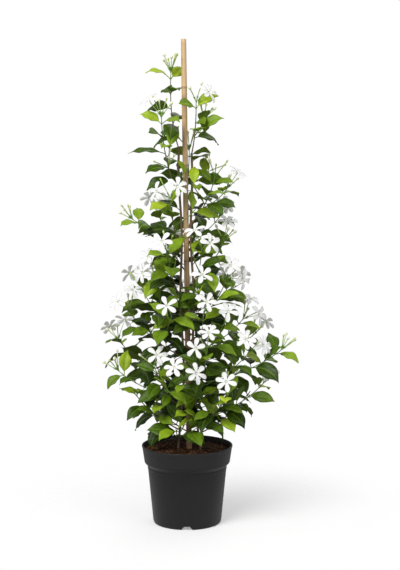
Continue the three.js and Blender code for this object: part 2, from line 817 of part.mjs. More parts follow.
// A turned shape, upright, from its [radius, height] profile.
function turned(profile, sides) {
  const points = profile.map(([r, z]) => new THREE.Vector2(r, z));
  return new THREE.LatheGeometry(points, sides).rotateX(Math.PI / 2);
}

// A tube along a curve.
function tube(points, radius, sides, steps) {
  const section = new THREE.Shape();
  for (let i = 0; i < sides; i++) {
    const a = (i * 2 * Math.PI) / sides;
    if (i) section.lineTo(Math.cos(a) * radius, Math.sin(a) * radius);
    else section.moveTo(radius, 0);
  }
  const extrudePath = new THREE.CatmullRomCurve3(points.map((p) => new THREE.Vector3(...p)));
  return toSolid(new THREE.ExtrudeGeometry(section, { steps, extrudePath, bevelEnabled: false }));
}

// A leaf as a thin shallow trough with a keel. It narrows to a point at each end, and the inner
// point is inside the shoot.
function leafSolid(leaf) {
  const mid = leafMid(leaf);
  const root = add(leaf.at, mid.tangents[0], -LEAF_ROOT * BRANCH_RADIUS);
  const rings = LEAF_RINGS.map((i) => {
    const half = Math.max(LEAF_LEAST_HALF, bladeShape(i / LEAF_STEPS) * leaf.half);
    const { at, side, normal } = bladeFrame(mid, leaf.roll, i);
    const raise = LEAF_RAISE + half * leaf.fold;
    return [
      add(add(at, side, half), normal, raise),
      add(add(at, side, -half), normal, raise),
      add(at, normal, -KEEL),
    ];
  });
  return toSolid(loft([[root], ...rings, [mid.points[LEAF_STEPS]]]));
}

// Three points round a place, square to a direction.
function triangle(at, direction, radius) {
  const [level, steep] = squares(direction);
  return [0, 1, 2].map((i) => {
    const a = (i * 2 * Math.PI) / 3;
    return add(add(at, level, Math.cos(a) * radius), steep, Math.sin(a) * radius);
  });
}

// The point inside its cluster's seat that a flower or bud grows from.
const rootOf = ({ start, along }) => add(start, along, -SEAT_RADIUS / 2);

// A flower as a thin five-pointed star on its tube.
function flowerSolid(flower, keys) {
  const [level, steep] = squares(flower.facing);
  const spin = 2 * Math.PI * chance(...keys, 9);
  const outline = [];
  for (let i = 0; i < 2 * PETALS; i++) {
    const a = spin + (i * Math.PI) / PETALS;
    const reach = i % 2 ? FLOWER_RADIUS : FLOWER_RADIUS * STAR.waist;
    outline.push(add(add(flower.at, level, Math.cos(a) * reach), steep, Math.sin(a) * reach));
  }
  const ahead = (distance) => add(flower.at, flower.facing, distance);
  const star = loft([[ahead(-STAR.back)], outline, [ahead(STAR.front)]]);
  const stalk = loft([
    [rootOf(flower)],
    triangle(add(flower.at, flower.along, -NECK), flower.along, TUBE_RADIUS),
    [flower.at],
  ]);
  return toSolid(star).add(toSolid(stalk));
}

// A bud as a slim tube that swells to a pointed head.
function budSolid(bud) {
  const bulb = BUD_RADIUS * mix(...BUD_SWELL, bud.grown);
  const ring = (distance, radius) => triangle(add(bud.at, bud.along, distance), bud.along, radius);
  const rings = [ring(-BUD_NECK * bulb, TUBE_RADIUS), ring(-bulb, bulb)];
  return toSolid(loft([[rootOf(bud)], ...rings, [add(bud.at, bud.along, bulb)]]));
}

function clusterSolid(cluster, keys) {
  const ends = [-SEAT_RADIUS, SEAT_RADIUS].map((k) => add(cluster.start, cluster.along, k));
  const flowers = cluster.flowers.map((flower, i) => flowerSolid(flower, [...keys, i]));
  return joined([tube(ends, SEAT_RADIUS, BRANCH_SIDES, 1), ...flowers, ...cluster.buds.map(budSolid)]);
}

// The pot is a thin moulded shell on a foot ring, with notches in the ring and drain holes in
// its raised floor.
function potSolid() {
  const footInner = BASE_RADIUS - BASE_CORNER - FOOT_WIDTH;
  const shell = turned(
    [
      [0, FLOOR_UNDERSIDE],
      [footInner - FOOT_SLOPE, FLOOR_UNDERSIDE],
      [footInner, 0],
      [BASE_RADIUS - BASE_CORNER, 0],
      [BASE_RADIUS - BASE_CORNER * ROUND, BASE_CORNER * ROUND],
      [BASE_RADIUS, BASE_CORNER],
      [BODY_TOP_RADIUS, BODY_TOP],
      [BAND_LOW_RADIUS, BAND_LOW],
      [RIM_RADIUS - LIP, POT_HEIGHT - LIP_HEIGHT - LIP],
      [RIM_RADIUS, POT_HEIGHT - LIP_HEIGHT],
      [RIM_RADIUS, POT_HEIGHT],
      [RIM_RADIUS - WALL - LIP, POT_HEIGHT],
      [BAND_LOW_RADIUS - WALL, BAND_LOW + STEP_RISE],
      [BODY_TOP_RADIUS - WALL, BODY_TOP + STEP_RISE],
      [FLOOR_RADIUS, FLOOR_TOP],
      [0, FLOOR_TOP],
    ],
    POT_SIDES,
  );
  const arch = new THREE.Shape([
    new THREE.Vector2(-NOTCH.low, -1),
    new THREE.Vector2(NOTCH.low, -1),
    new THREE.Vector2(NOTCH.low, 0),
    new THREE.Vector2(NOTCH.high, NOTCH.height),
    new THREE.Vector2(-NOTCH.high, NOTCH.height),
    new THREE.Vector2(-NOTCH.low, 0),
  ]);
  const slot = new THREE.ExtrudeGeometry(arch, { depth: NOTCH.depth, bevelEnabled: false });
  slot.rotateX(Math.PI / 2).translate(0, NOTCH.depth - BASE_RADIUS - NOTCH.proud, 0); // opens to -Y
  const cutters = [];
  for (let i = 0; i < NOTCHES; i++) cutters.push(slot.clone().rotateZ((i * 2 * Math.PI) / NOTCHES));
  const drain = new THREE.CylinderGeometry(DRAINS.radius, DRAINS.radius, 3 * WALL, DRAIN_SIDES);
  drain.rotateX(Math.PI / 2).translate(DRAINS.ring, 0, FLOOR_UNDERSIDE + WALL / 2);
  for (let i = 0; i < DRAINS.count; i++)
    cutters.push(drain.clone().rotateZ(((i + 0.5) * 2 * Math.PI) / DRAINS.count));
  return cut(toSolid(shell), cutters.map(toSolid));
}

// The soil fills the pot to just under its rim, a little short of the wall.
function soilSolid(holes) {
  const slope = (RIM_RADIUS - LIP - BAND_LOW_RADIUS) / (POT_HEIGHT - BAND_LOW - STEP_RISE);
  const edge = BAND_LOW_RADIUS - WALL - SOIL_SLACK + slope * (SOIL_LEVEL - BAND_LOW - STEP_RISE);
  const body = turned(
    [
      [0, FLOOR_TOP + GAP],
      [FLOOR_RADIUS - SOIL_SLACK, FLOOR_TOP + GAP],
      [BODY_TOP_RADIUS - WALL - SOIL_SLACK, BODY_TOP + STEP_RISE + GAP],
      [BAND_LOW_RADIUS - WALL - SOIL_SLACK, BAND_LOW + STEP_RISE + GAP],
      ...SOIL_TOP.map(([out, up]) => [edge * out, SOIL_LEVEL + SOIL_CROWN * up]),
    ],
    SOIL_SIDES,
  );
  return cut(toSolid(body), holes);
}

// The cane leans a little, with a raised ring at each of its nodes. spare makes it that much
// larger all round, as the hole for it.
function caneSolid(spare = 0) {
  const foot = caneAt(CANE_FOOT_Z);
  const top = caneAt(CANE_FOOT_Z + CANE_LENGTH);
  const length = size(sub(top, foot));
  const radiusAt = (h) => mix(CANE_LOW_RADIUS, CANE_TOP_RADIUS, h / length) + spare;
  const profile = [
    [0, -spare],
    [radiusAt(0), -spare],
  ];
  for (const z of CANE_KNOTS) {
    const h = z - foot[2];
    profile.push([radiusAt(h), h - KNOT_HALF]);
    profile.push([radiusAt(h) + KNOT_RISE, h]);
    profile.push([radiusAt(h), h + KNOT_HALF]);
  }
  profile.push([radiusAt(length), length], [0, length]);
  const lean = Math.atan2(top[0] - foot[0], top[2] - foot[2]);
  return toSolid(turned(profile, CANE_SIDES).rotateY(lean).translate(...foot));
}

// A wire tie round the cane and its stems, as one band of two turns.
function tieSolid(z) {
  const band = turned(
    [
      [TIE_REACH, -TIE_WIRE],
      [TIE_REACH + TIE_WIRE, -TIE_WIRE],
      [TIE_REACH + TIE_WIRE, TIE_WIRE],
      [TIE_REACH, TIE_WIRE],
      [TIE_REACH, -TIE_WIRE],
    ],
    TIE_SIDES,
  );
  return toSolid(band.translate(...caneAt(z)));
}

function stemTube(name, spare = 0) {
  const points = stemPoints(name, SOIL_LEVEL - SOIL_DEEP - spare, STEMS[name].top + spare);
  return tube(points, STEM_RADIUS + spare, STEM_SIDES, STEM_STEPS);
}

// A branch and all its leaves as one grown piece, with the buds at any tip that has no open flower.
function branchSolid(branch, holes) {
  const pieces = branch.curves.map((curve) => tube(curve, BRANCH_RADIUS, BRANCH_SIDES, BRANCH_STEPS));
  pieces.push(...branch.leaves.map(leafSolid));
  for (const [c, { along, flowers, buds }] of branch.clusters.entries()) {
    const tip = branch.tips[c].at;
    const nearer = (bud) => ({ ...bud, start: add(tip, along, -SEAT_RADIUS) });
    if (!flowers.length) pieces.push(...buds.map((bud) => budSolid(nearer(bud))));
  }
  return mainBody(cut(joined(pieces), holes));
}

const MATERIALS = {
  plastic: { color: 0x2b2c2d, roughness: 0.55 },
  soil: { color: 0x3a2114, roughness: 1 },
  bamboo: { color: 0xd0a06c, roughness: 0.6 },
  wire: { color: 0xa9a25a, roughness: 0.5 },
  bark: { color: 0x5d6b34, roughness: 0.8 },
  leaf: { color: 0x3f7a1e, roughness: 0.45 },
  petal: { color: 0xf6f5ee, roughness: 0.6 },
};

const plant = growPlant();
const potted = new THREE.Group();
potted.position.set(...POT_PLACE, 0);
const model = new THREE.Group();
model.add(potted);

function put(name, solid, look) {
  const material = new THREE.MeshStandardMaterial({ ...MATERIALS[look], metalness: 0 });
  const mesh = new THREE.Mesh(toGeometry(solid), material);
  mesh.name = name;
  potted.add(mesh);
}

const stemHoles = Object.keys(STEMS).map((name) => stemTube(name, GAP));
const caneHole = caneSolid(GAP);
put("pot", potSolid(), "plastic");
put("potting_soil", soilSolid([caneHole, ...stemHoles]), "soil");
put("bamboo_cane", caneSolid(), "bamboo");
for (const [name, z] of Object.entries(TIE_HEIGHTS)) put(name, tieSolid(z), "wire");
for (const { name, leaves } of plant.stems)
  put("stem_" + name, joined([stemTube(name), ...leaves.map(leafSolid)]), "bark");
for (const [b, branch] of plant.branches.entries()) {
  put("branch_" + branch.name, branchSolid(branch, [caneHole, ...stemHoles]), "leaf");
  for (const [c, cluster] of branch.clusters.entries())
    if (cluster.flowers.length)
      put("flowers_" + branch.name + "_" + "abc"[c], clusterSolid(cluster, [b, c]), "petal");
}

export default model;
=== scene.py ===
import functools
import itertools
import math

import bpy
import numpy as np
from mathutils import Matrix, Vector, noise


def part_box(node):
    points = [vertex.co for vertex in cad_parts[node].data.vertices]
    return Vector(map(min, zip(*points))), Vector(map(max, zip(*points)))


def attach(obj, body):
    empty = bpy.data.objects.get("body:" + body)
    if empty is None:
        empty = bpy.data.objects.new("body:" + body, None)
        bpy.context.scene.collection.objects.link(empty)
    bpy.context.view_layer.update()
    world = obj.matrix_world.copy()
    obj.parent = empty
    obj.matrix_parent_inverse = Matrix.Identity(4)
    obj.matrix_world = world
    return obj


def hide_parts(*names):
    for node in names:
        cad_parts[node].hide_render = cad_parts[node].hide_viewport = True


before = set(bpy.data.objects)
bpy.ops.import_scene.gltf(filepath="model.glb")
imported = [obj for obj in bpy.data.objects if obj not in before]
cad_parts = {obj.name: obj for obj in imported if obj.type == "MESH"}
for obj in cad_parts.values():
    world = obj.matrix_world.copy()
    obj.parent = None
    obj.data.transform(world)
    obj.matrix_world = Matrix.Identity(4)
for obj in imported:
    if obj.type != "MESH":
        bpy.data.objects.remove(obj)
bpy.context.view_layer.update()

pot_low, pot_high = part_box("pot")
POT_AXIS = np.array([(pot_low.x + pot_high.x) / 2, (pot_low.y + pot_high.y) / 2, 0.0])
MM = 0.001

# Camera, in metres from the pot's axis
CAMERA_PLACE = (0.024, -2.458, 0.704)
CAMERA_DOWN = 0.104  # radians below level
CAMERA_LENS = 84.27

# Pot
POT_HEIGHT = 147
RIM_RADIUS = 85
BAND_LOW_RADIUS = 80
BAND_HEIGHT = 32
STEP_HEIGHT = 6
STEP_RISE = 1
BODY_TOP_RADIUS = 74
BASE_RADIUS = 64
BASE_CORNER = 3
WALL = 1.6
FLOOR_UNDERSIDE = 7.4
FOOT_WIDTH = 3.2
FOOT_SLOPE = 1
COLLAR_HEIGHT = 5.4
COLLAR_IN = 0.35
COLLAR_LOW_OUT = 0.25
COLLAR_TOP_OUT = 0.3
COLLAR_SLOPE = 0.6
LIP = 0.8
LIP_HEIGHT = 3
BAND_LOW = POT_HEIGHT - BAND_HEIGHT
BODY_TOP = BAND_LOW - STEP_HEIGHT
FLOOR_TOP = FLOOR_UNDERSIDE + WALL
FLOOR_RADIUS = BASE_RADIUS + (BODY_TOP_RADIUS - BASE_RADIUS) * FLOOR_TOP / BODY_TOP - WALL
NOTCHES = 4
NOTCH = {"low": 10.8, "high": 5, "height": 6.9, "depth": 14}
NOTCH_PROUD = 2
DRAINS = {"count": 8, "radius": 4.5, "ring": 44}
DRAIN_SIDES = 24

# Soil
GAP = 0.35
SOIL_LEVEL = 138
SOIL_CROWN = 3
SOIL_DEEP = 34

# Cane
CANE_FOOT_Z = 12
CANE_LENGTH = 885
CANE_TOP_Z = CANE_FOOT_Z + CANE_LENGTH
CANE_SOIL_X = 3.7
CANE_TOP_X = -5.9
CANE_LOW_RADIUS = 5.3
CANE_TOP_RADIUS = 4.8
CANE_KNOTS = [148, 318, 492, 668, 810]

# Stems and ties
STEM_RADIUS = 2.2
STEM_CLEAR = 0.6
STEM_BULGE = 4.5
STEM_TURN_RISE = 560
SOIL_SPREAD = 11
SPREAD_HEIGHT = 120
LOWER_TIE, UPPER_TIE = 300, 538
TIE_REACH = CANE_LOW_RADIUS + 2 * STEM_RADIUS + STEM_CLEAR + GAP

# Branches
BRANCH_RADIUS = 1.25
BOW_OUT = 0.1
BOW_DOWN = 0.09
SHOOT_FROM = 0.4
SHOOT_STEP = 0.1
AXIS_STEPS = 24
BACK_FROM = 25

# Leaves
LEAF_PAIRS = 7
LEAF_FIRST = 9
LEAF_SPACING = 27
LEAF_LAST = 14
STEM_LEAF_FIRST = 16
STEM_LEAF_SPACING = 52
STEM_LEAF_CLOSER = 1.1
STEM_LEAF_LAST = 30
STEM_KEY = 90
TIE_ROOM = 10
LEAF_LENGTH = 62
PAIR_TURN = 38
LEAF_HALF_WIDTH = 0.21
PETIOLE = 0.14
BLADE_FORM = {"narrowest": 0.05, "skew": 0.78, "fullness": 0.85, "taper": 0.22}
ARCH_GROWTH = 1.15
LEAF_FORWARD = 0.5
LEAF_LEVEL = 0.75
LEAF_LOWEST = -12
YOUNG_PAIRS = 2
YOUNG_SHORTER = 0.2
YOUNG_LIFT = 12
BLADE_TURN = 38
LEAF_ROOT = 0.5
LEAF_STEPS = 12
LEAF_SAMPLES = (-0.95, -0.5, 0, 0.5, 0.95)
LEAF_MARGIN = 2.1

# What varies from leaf to leaf and from bud to bud: the least and the most. Angles are in degrees.
VARIES = {
    "pair_turn": (-25, 25),
    "leaf_size": (0.86, 1.14),
    "lift": (2, 20),
    "bend": (38, 80),
    "curl": (-15, 15),
    "roll": (-22, 22),
    "fold": (0.12, 0.28),
    "girth": (0.9, 1.1),
    "bud_open": (14, 42),
    "bud_reach": (0.72, 1.05),
}

# Flowers and buds
SEAT_RADIUS = 1.5
FLOWER_RADIUS = 21.5
FLOWER_TURN = 0.5
BUD_RADIUS = 2.6
BUD_REACH = 40
BUD_TURN = 2.4
BUD_LIFT = 0.7

# Room that leaves leave
TAKEN_STEP = 4
NEAR = 12
WOOD_ROOM = 0.5
TUBE_ROOM = 2
RING_ROOM = 2.2
PETAL_RINGS = (0.35, 0.65, 0.95)
PETAL_SPOKES = 10
TIE_SPOKES = 18
TIE_PROUD = 1
INSIDE_RIM = RIM_RADIUS - 8
OUTSIDE_RIM = RIM_RADIUS + 9
SOIL_ROOM = 1.5
RIM_ROOM = 13
HANG_LOW = POT_HEIGHT + 15
CANE_SHOWS = ((141, 160), (335, 370), (448, 526), (541, 622), (678, 775))

# Each stem: angle round the cane in degrees, turn on the way up, and height of its top.
STEMS = {"left": (200, -25, 700), "right": (-20, 30, 690), "back": (90, 20, 600)}

# Each branch: its stem, its height there, its tips as (place, open flowers, buds), and the tips of
# its shoots that carry leaves only.
BRANCHES = [
    ("top_left", "left", 698,
     [((-29, -10, 833), [], 8)],
     []),
    ("upper_left", "left", 610,
     [((-46, -18, 752), [(-69, -16, 786)], 4), ((-34, -24, 664), [], 4)],
     [(-30, -34, 706), (-16, -28, 676)]),
    ("upper_right", "right", 688,
     [((17, -14, 780), [(41, -22, 800)], 3), ((30, 4, 748), [], 5)],
     [(26, -36, 728), (14, -22, 734)]),
    ("high_right", "right", 560,
     [((50, 8, 641), [], 4), ((72, 20, 622), [(94, 24, 655)], 3)],
     [(28, -44, 612), (10, -34, 636)]),
    ("high_left", "left", 505,
     [((-30, -38, 606), [(-16, -62, 632), (-55, -46, 622)], 2), ((-96, -20, 568), [], 5)],
     [(-22, -44, 560), (16, -40, 590)]),
    ("middle_left", "left", 425,
     [((-36, -58, 512), [(-44, -86, 535)], 2), ((-54, -24, 462), [(-70, -40, 505), (-82, -42, 474)], 2)],
     [(-26, -54, 476), (-20, -38, 500)]),
    ("middle_right", "right", 435,
     [((27, -44, 514), [(14, -56, 553), (43, -72, 530)], 2), ((66, 2, 524), [(75, -2, 566)], 4)],
     [(46, -40, 482), (10, -36, 520)]),
    ("inner_right", "right", 372,
     [((72, -18, 458), [(80, -46, 488), (102, -34, 462)], 3), ((20, -50, 442), [(29, -76, 474)], 2)],
     [(52, -62, 424), (16, -40, 440)]),
    ("wide_left", "left", 312,
     [((-104, 6, 392), [(-100, 2, 438), (-127, -10, 418)], 4), ((-28, -64, 396), [(-35, -94, 420)], 1)],
     [(-66, -44, 372), (-46, -34, 428)]),
    ("wide_right", "right", 276,
     [((30, -56, 396), [(36, -84, 426)], 1), ((66, -36, 376), [(76, -64, 406)], 2),
      ((102, 10, 380), [(118, 18, 420), (134, 0, 392)], 3)],
     [(52, -72, 344), (20, -48, 352), (-16, -40, 400)]),
    ("front_right", "right", 225,
     [((36, -92, 334), [(40, -108, 374), (16, -118, 347)], 2),
      ((112, -22, 322), [(108, -50, 353), (140, -36, 340)], 2), ((172, -4, 324), [], 5)],
     [(8, -56, 306)]),
    ("front_left", "left", 215,
     [((-58, -46, 298), [(-54, -74, 328)], 3), ((-124, -12, 286), [], 5),
      ((-2, -98, 282), [(-22, -122, 314), (18, -124, 303)], 1)],
     [(-34, -84, 262), (-22, -48, 244)]),
    ("low_right", "right", 185,
     [((74, -84, 256), [(71, -113, 286)], 2), ((140, -6, 262), [(152, -30, 288)], 4)],
     [(44, -74, 226), (18, -56, 252)]),
    ("base_left", "left", 176,
     [],
     [(-98, -22, 250), (-58, -46, 208), (-44, -48, 236)]),
    ("base_right", "right", 168,
     [],
     [(118, 2, 248), (58, -38, 204), (60, -16, 232)]),
    ("base_front", "left", 158,
     [],
     [(-20, -62, 190), (26, -66, 200), (4, -58, 224)]),
    ("back_top", "back", 598,
     [((4, 34, 692), [], 5), ((38, 52, 654), [], 3)],
     []),
    ("back_high", "back", 472,
     [((-52, 64, 572), [(-72, 84, 606), (-40, 88, 600)], 2), ((58, 66, 566), [(72, 94, 592)], 3),
      ((2, 92, 516), [(14, 122, 544), (-24, 116, 540)], 2)],
     [(-20, 66, 546)]),
    ("back_middle", "back", 340,
     [((-88, 82, 432), [(-112, 104, 460), (-80, 112, 466)], 2),
      ((82, 92, 428), [(104, 118, 458), (70, 124, 456)], 2),
      ((-8, 124, 404), [(4, 154, 436), (-36, 150, 424)], 3)],
     [(-36, 88, 384)]),
    ("back_wide", "back", 245,
     [((-130, 82, 330), [(-150, 96, 356), (-122, 110, 368)], 2), ((124, 104, 336), [(152, 118, 364)], 3),
      ((34, 142, 326), [(50, 172, 354), (14, 172, 352)], 2)],
     [(-58, 98, 296)]),
    ("back_low", "back", 200,
     [((-62, 130, 276), [], 4), ((86, 124, 252), [], 4)],
     [(-12, 98, 252), (34, 84, 236)]),
    ("base_back", "back", 166,
     [],
     [(-84, 60, 234), (-14, 112, 204), (94, 56, 236)]),
]


# Small helpers, mostly for vectors in millimetres
def mix(a, b, t):
    return a + (b - a) * t


def unit(v):
    return v / math.sqrt(v[0] * v[0] + v[1] * v[1] + v[2] * v[2])


def vec(*values):
    return np.array(values, float)


def squares(direction):
    """Two unit vectors square to a direction; the first is level."""
    if abs(direction[2]) > 0.999:
        level = vec(1, 0, 0)
    else:
        level = unit(vec(-direction[1], direction[0], 0))
    return level, np.cross(direction, level)


def chance(*keys):
    """A repeatable number from 0 to 1 for whole-number keys."""
    h = 2166136261
    for key in keys:
        h = ((h ^ (key + 101)) * 16777619) & 0xFFFFFFFF
        h ^= h >> 13
        h = (h * 1274126177) & 0xFFFFFFFF
        h ^= h >> 16
    return h / 4294967296


def varied(what, *keys):
    return mix(*VARIES[what], chance(*keys))


def between(first, second, angle):
    """The direction at an angle from the first of two unit vectors towards the second."""
    return first * math.cos(angle) + second * math.sin(angle)


def level_way(angle):
    return vec(math.cos(angle), math.sin(angle), 0)


def circle_of(count, first, second):
    """Unit directions evenly round a circle in the plane of two unit vectors."""
    angles = np.arange(count) * 2 * math.pi / count
    return np.cos(angles)[:, None] * first + np.sin(angles)[:, None] * second


def smoothly(points, shares):
    """A curve's points at the given shares of its rows."""
    rows = np.linspace(0, 1, len(points))
    return np.stack([np.interp(shares, rows, points[:, i]) for i in range(3)], axis=1)


def linked(name, data):
    made = bpy.data.objects.new(name, data)
    bpy.context.collection.objects.link(made)
    return made


def smooth(low, high, value):
    t = np.clip((value - low) / (high - low), 0, 1)
    return t * t * (3 - 2 * t)


# The plant's plan: the same curves, clusters and leaves as its solids
def cane_at(z):
    share = (z - SOIL_LEVEL) / (CANE_TOP_Z - SOIL_LEVEL)
    return vec(mix(CANE_SOIL_X, CANE_TOP_X, share), 0, z)


def stem_at(name, z):
    angle, turn, _ = STEMS[name]
    turned = math.radians(angle + turn * (z - SOIL_LEVEL) / STEM_TURN_RISE)
    wave = math.sin(math.pi * (z - LOWER_TIE) / (UPPER_TIE - LOWER_TIE))
    low = max(0, 1 - (z - SOIL_LEVEL) / SPREAD_HEIGHT)
    off = CANE_LOW_RADIUS + STEM_RADIUS + STEM_CLEAR + STEM_BULGE * wave**2 + SOIL_SPREAD * low**2
    return cane_at(z) + between(vec(1, 0, 0), vec(0, 1, 0), turned) * off


def bowed(start, tip):
    """A curve that leaves its start flatter than it reaches its tip."""
    across = vec(tip[0] - start[0], tip[1] - start[1], 0)
    reach = np.linalg.norm(tip - start)
    outward = unit(across) if np.linalg.norm(across) > 1 else vec(0, 0, 0)
    control = (start + tip) * 0.5 + outward * BOW_OUT * reach + vec(0, 0, -BOW_DOWN * reach)
    t = np.linspace(0, 1, AXIS_STEPS + 1)[:, None]
    return (1 - t) ** 2 * start + 2 * t * (1 - t) * control + t * t * tip


def length_of(points):
    return float(np.linalg.norm(np.diff(points, axis=0), axis=1).sum())


def from_end(points, distance):
    """The point and direction at a distance back from a curve's end."""
    left = distance
    for i in range(len(points) - 1, 0, -1):
        step = points[i] - points[i - 1]
        span = float(np.linalg.norm(step))
        if left <= span:
            return points[i] - step * (left / span), unit(step)
        left -= span
    return points[0], unit(points[1] - points[0])


class Leaf:
    """A leaf grows from a place with a heading, a rise and a length. bend is how far it arches down."""

    def __init__(self, **facts):
        self.__dict__.update(facts)

    def turned(self, heading, rise, roll, scale):
        facts = dict(self.__dict__)
        facts["heading"] += math.radians(heading)
        facts["rise"] += math.radians(rise)
        facts["roll"] += math.radians(roll)
        facts["length"] *= scale
        facts["half"] *= scale
        return Leaf(**facts)

    def along(self, t):
        rise = self.rise - self.bend * t**ARCH_GROWTH
        heading = self.heading + self.curl * t * t
        flat = np.cos(rise)
        return np.stack([flat * np.cos(heading), flat * np.sin(heading), np.sin(rise)], axis=-1)

    def frame(self, tangents):
        """The direction across the blade and the one out of its upper face, at each tangent."""
        level = np.stack([-tangents[:, 1], tangents[:, 0], np.zeros(len(tangents))], axis=1)
        level /= np.linalg.norm(level, axis=1)[:, None]
        steep = np.cross(tangents, level)
        side = level * math.cos(self.roll) + steep * math.sin(self.roll)
        return side, np.cross(tangents, side)

    def samples(self):
        """Points spread over the blade, which stand for it when room is tested."""
        t = (np.arange(LEAF_STEPS) + 0.5) / LEAF_STEPS
        tangents = self.along(t)
        points = np.vstack([self.at, self.at + np.cumsum(tangents * (self.length / LEAF_STEPS), axis=0)])
        tangents = np.vstack([tangents, tangents[-1]])
        side, normal = self.frame(tangents)
        rows = np.arange(2, LEAF_STEPS + 1)
        half = blade_shape(rows / LEAF_STEPS)[:, None] * self.half
        found = []
        for u in LEAF_SAMPLES:
            raised = normal[rows] * (abs(u) * half * self.fold)
            found.append(points[rows] + side[rows] * (u * half) + raised)
        return np.concatenate(found)


def blade_shape(t):
    s = np.clip((t - PETIOLE) / (1 - PETIOLE), 0, 1)
    form = BLADE_FORM
    full = np.maximum(np.sin(np.pi * s ** form["skew"]), 0) ** form["fullness"]
    shape = full * (1 - form["taper"] * s**3)
    return np.where(t <= PETIOLE, form["narrowest"], np.maximum(form["narrowest"], shape))


def hides_cane(points):
    """Whether any of these places hides the cane from the front in one of the spans where it shows."""
    x, y, z = points.T
    share = (z - SOIL_LEVEL) / (CANE_TOP_Z - SOIL_LEVEL)
    before = (y <= 0) & (np.abs(x - mix(CANE_SOIL_X, CANE_TOP_X, share)) <= CANE_LOW_RADIUS)
    return any((before & (z > low) & (z < high)).any() for low, high in CANE_SHOWS)


class Taken:
    """What the plant must stay clear of, as points with a radius."""

    def __init__(self):
        self.points = np.zeros((0, 4))
        self.fresh = []

    def add(self, points, radius):
        self.fresh.append(np.column_stack([points, np.full(len(points), radius)]))

    def add_curve(self, points, radius):
        total = length_of(points)
        count = max(1, math.floor(total / TAKEN_STEP + 0.5))
        self.add([from_end(points, total * i / count)[0] for i in range(count + 1)], radius)

    def add_ring(self, at, ways, reach, spokes):
        self.add([at + between(*ways, 2 * math.pi * i / spokes) * reach for i in range(spokes)], RING_ROOM)

    def has_room(self, points):
        out = np.hypot(points[:, 0], points[:, 1])
        lowest = np.full(len(points), HANG_LOW)
        lowest[out < OUTSIDE_RIM] = POT_HEIGHT + RIM_ROOM
        lowest[out < INSIDE_RIM] = SOIL_LEVEL + SOIL_CROWN + SOIL_ROOM
        if (points[:, 2] <= lowest).any() or hides_cane(points):
            return False
        self.points = np.vstack([self.points] + self.fresh)
        self.fresh = []
        reach = LEAF_MARGIN + NEAR
        low, high = points.min(0) - reach, points.max(0) + reach
        near = self.points[((self.points[:, :3] > low) & (self.points[:, :3] < high)).all(1)]
        gaps = np.linalg.norm(points[:, None] - near[None, :, :3], axis=2) - near[:, 3] - LEAF_MARGIN
        return not len(near) or bool((gaps > 0).all())


# Ways to turn a leaf that finds no room: change of heading, rise, roll in degrees, and length.
TRIES = [
    (0, 0, 0, 1), (14, 6, 10, 1), (-14, 6, -10, 1), (0, 18, 0, 1), (0, -18, 0, 1),
    (28, 0, 18, 0.97), (-28, 0, -18, 0.97), (16, 22, -22, 0.95), (-16, 22, 22, 0.95),
    (18, -22, 0, 0.95), (-18, -22, 0, 0.95), (40, 10, 0, 0.9), (-40, 10, 0, 0.9),
    (0, 30, 30, 0.88), (0, 30, -30, 0.88), (52, -8, 10, 0.82), (-52, -8, -10, 0.82),
]


def outlook(at):
    """The level direction that a place on the plant looks out to."""
    return vec(0, 1 if at[1] > BACK_FROM else -1, 0)


def leaf_pair(taken, points, distance, index, keys, young):
    at, along = from_end(points, distance)
    level, steep = squares(along)
    turn = math.radians(PAIR_TURN + 90 * (index % 2) + varied("pair_turn", *keys, 1))
    found = []
    for side in (1, -1):
        k = (*keys, side + 5)
        across = between(level, steep, turn) * side
        out = unit(across + along * LEAF_FORWARD)
        length = LEAF_LENGTH * varied("leaf_size", *k, 2) * (1 - YOUNG_SHORTER * young)
        lean = -(out[0] / math.hypot(out[0], out[1])) * outlook(at)[1]
        start = max(math.asin(out[2]) * LEAF_LEVEL, math.radians(LEAF_LOWEST))
        wish = Leaf(
            at=at + across * LEAF_ROOT * BRANCH_RADIUS,
            heading=math.atan2(out[1], out[0]),
            rise=start + math.radians(varied("lift", *k, 3) + YOUNG_LIFT * young),
            bend=math.radians(varied("bend", *k, 4)),
            curl=math.radians(varied("curl", *k, 5)),
            roll=math.radians(BLADE_TURN * lean + varied("roll", *k, 6)),
            fold=varied("fold", *k, 7),
            length=length,
            half=length * LEAF_HALF_WIDTH * varied("girth", *k, 8),
            young=young,
            seed=chance(*k, 9),
        )
        for change in TRIES:
            leaf = wish.turned(*change)
            samples = leaf.samples()
            if taken.has_room(samples):
                taken.add(samples, LEAF_MARGIN)
                found.append(leaf)
                break
    return found


class Member:
    """One flower or bud of a cluster: a tube from the cluster's start to its head."""

    def __init__(self, start, at, facing, seed):
        self.start, self.at, self.facing, self.seed = start, at, facing, seed
        self.along = unit(at - start)


def cluster_of(tip, points, keys):
    place, flower_places, bud_count = tip
    along = from_end(points, 0)[1]
    start = vec(*place) + along * (GAP + SEAT_RADIUS)
    flowers = []
    for i, at in enumerate(flower_places):
        at = vec(*at)
        facing = unit(unit(at - start) + outlook(at) * FLOWER_TURN)
        flowers.append(Member(start, at, facing, chance(*keys, i, 9)))
    lean = unit(along + vec(0, 0, BUD_LIFT))
    level, steep = squares(lean)
    buds = []
    for i in range(bud_count):
        around = BUD_TURN * i + 2 * math.pi * chance(*keys, 1)
        opened = math.radians(varied("bud_open", *keys, i, 2))
        facing = between(lean, between(level, steep, around), opened)
        reach = BUD_REACH * varied("bud_reach", *keys, i, 3)
        buds.append(Member(start, start + facing * reach, facing, chance(*keys, i, 4)))
    return {"start": start, "along": along, "flowers": flowers, "buds": buds, "keys": keys}


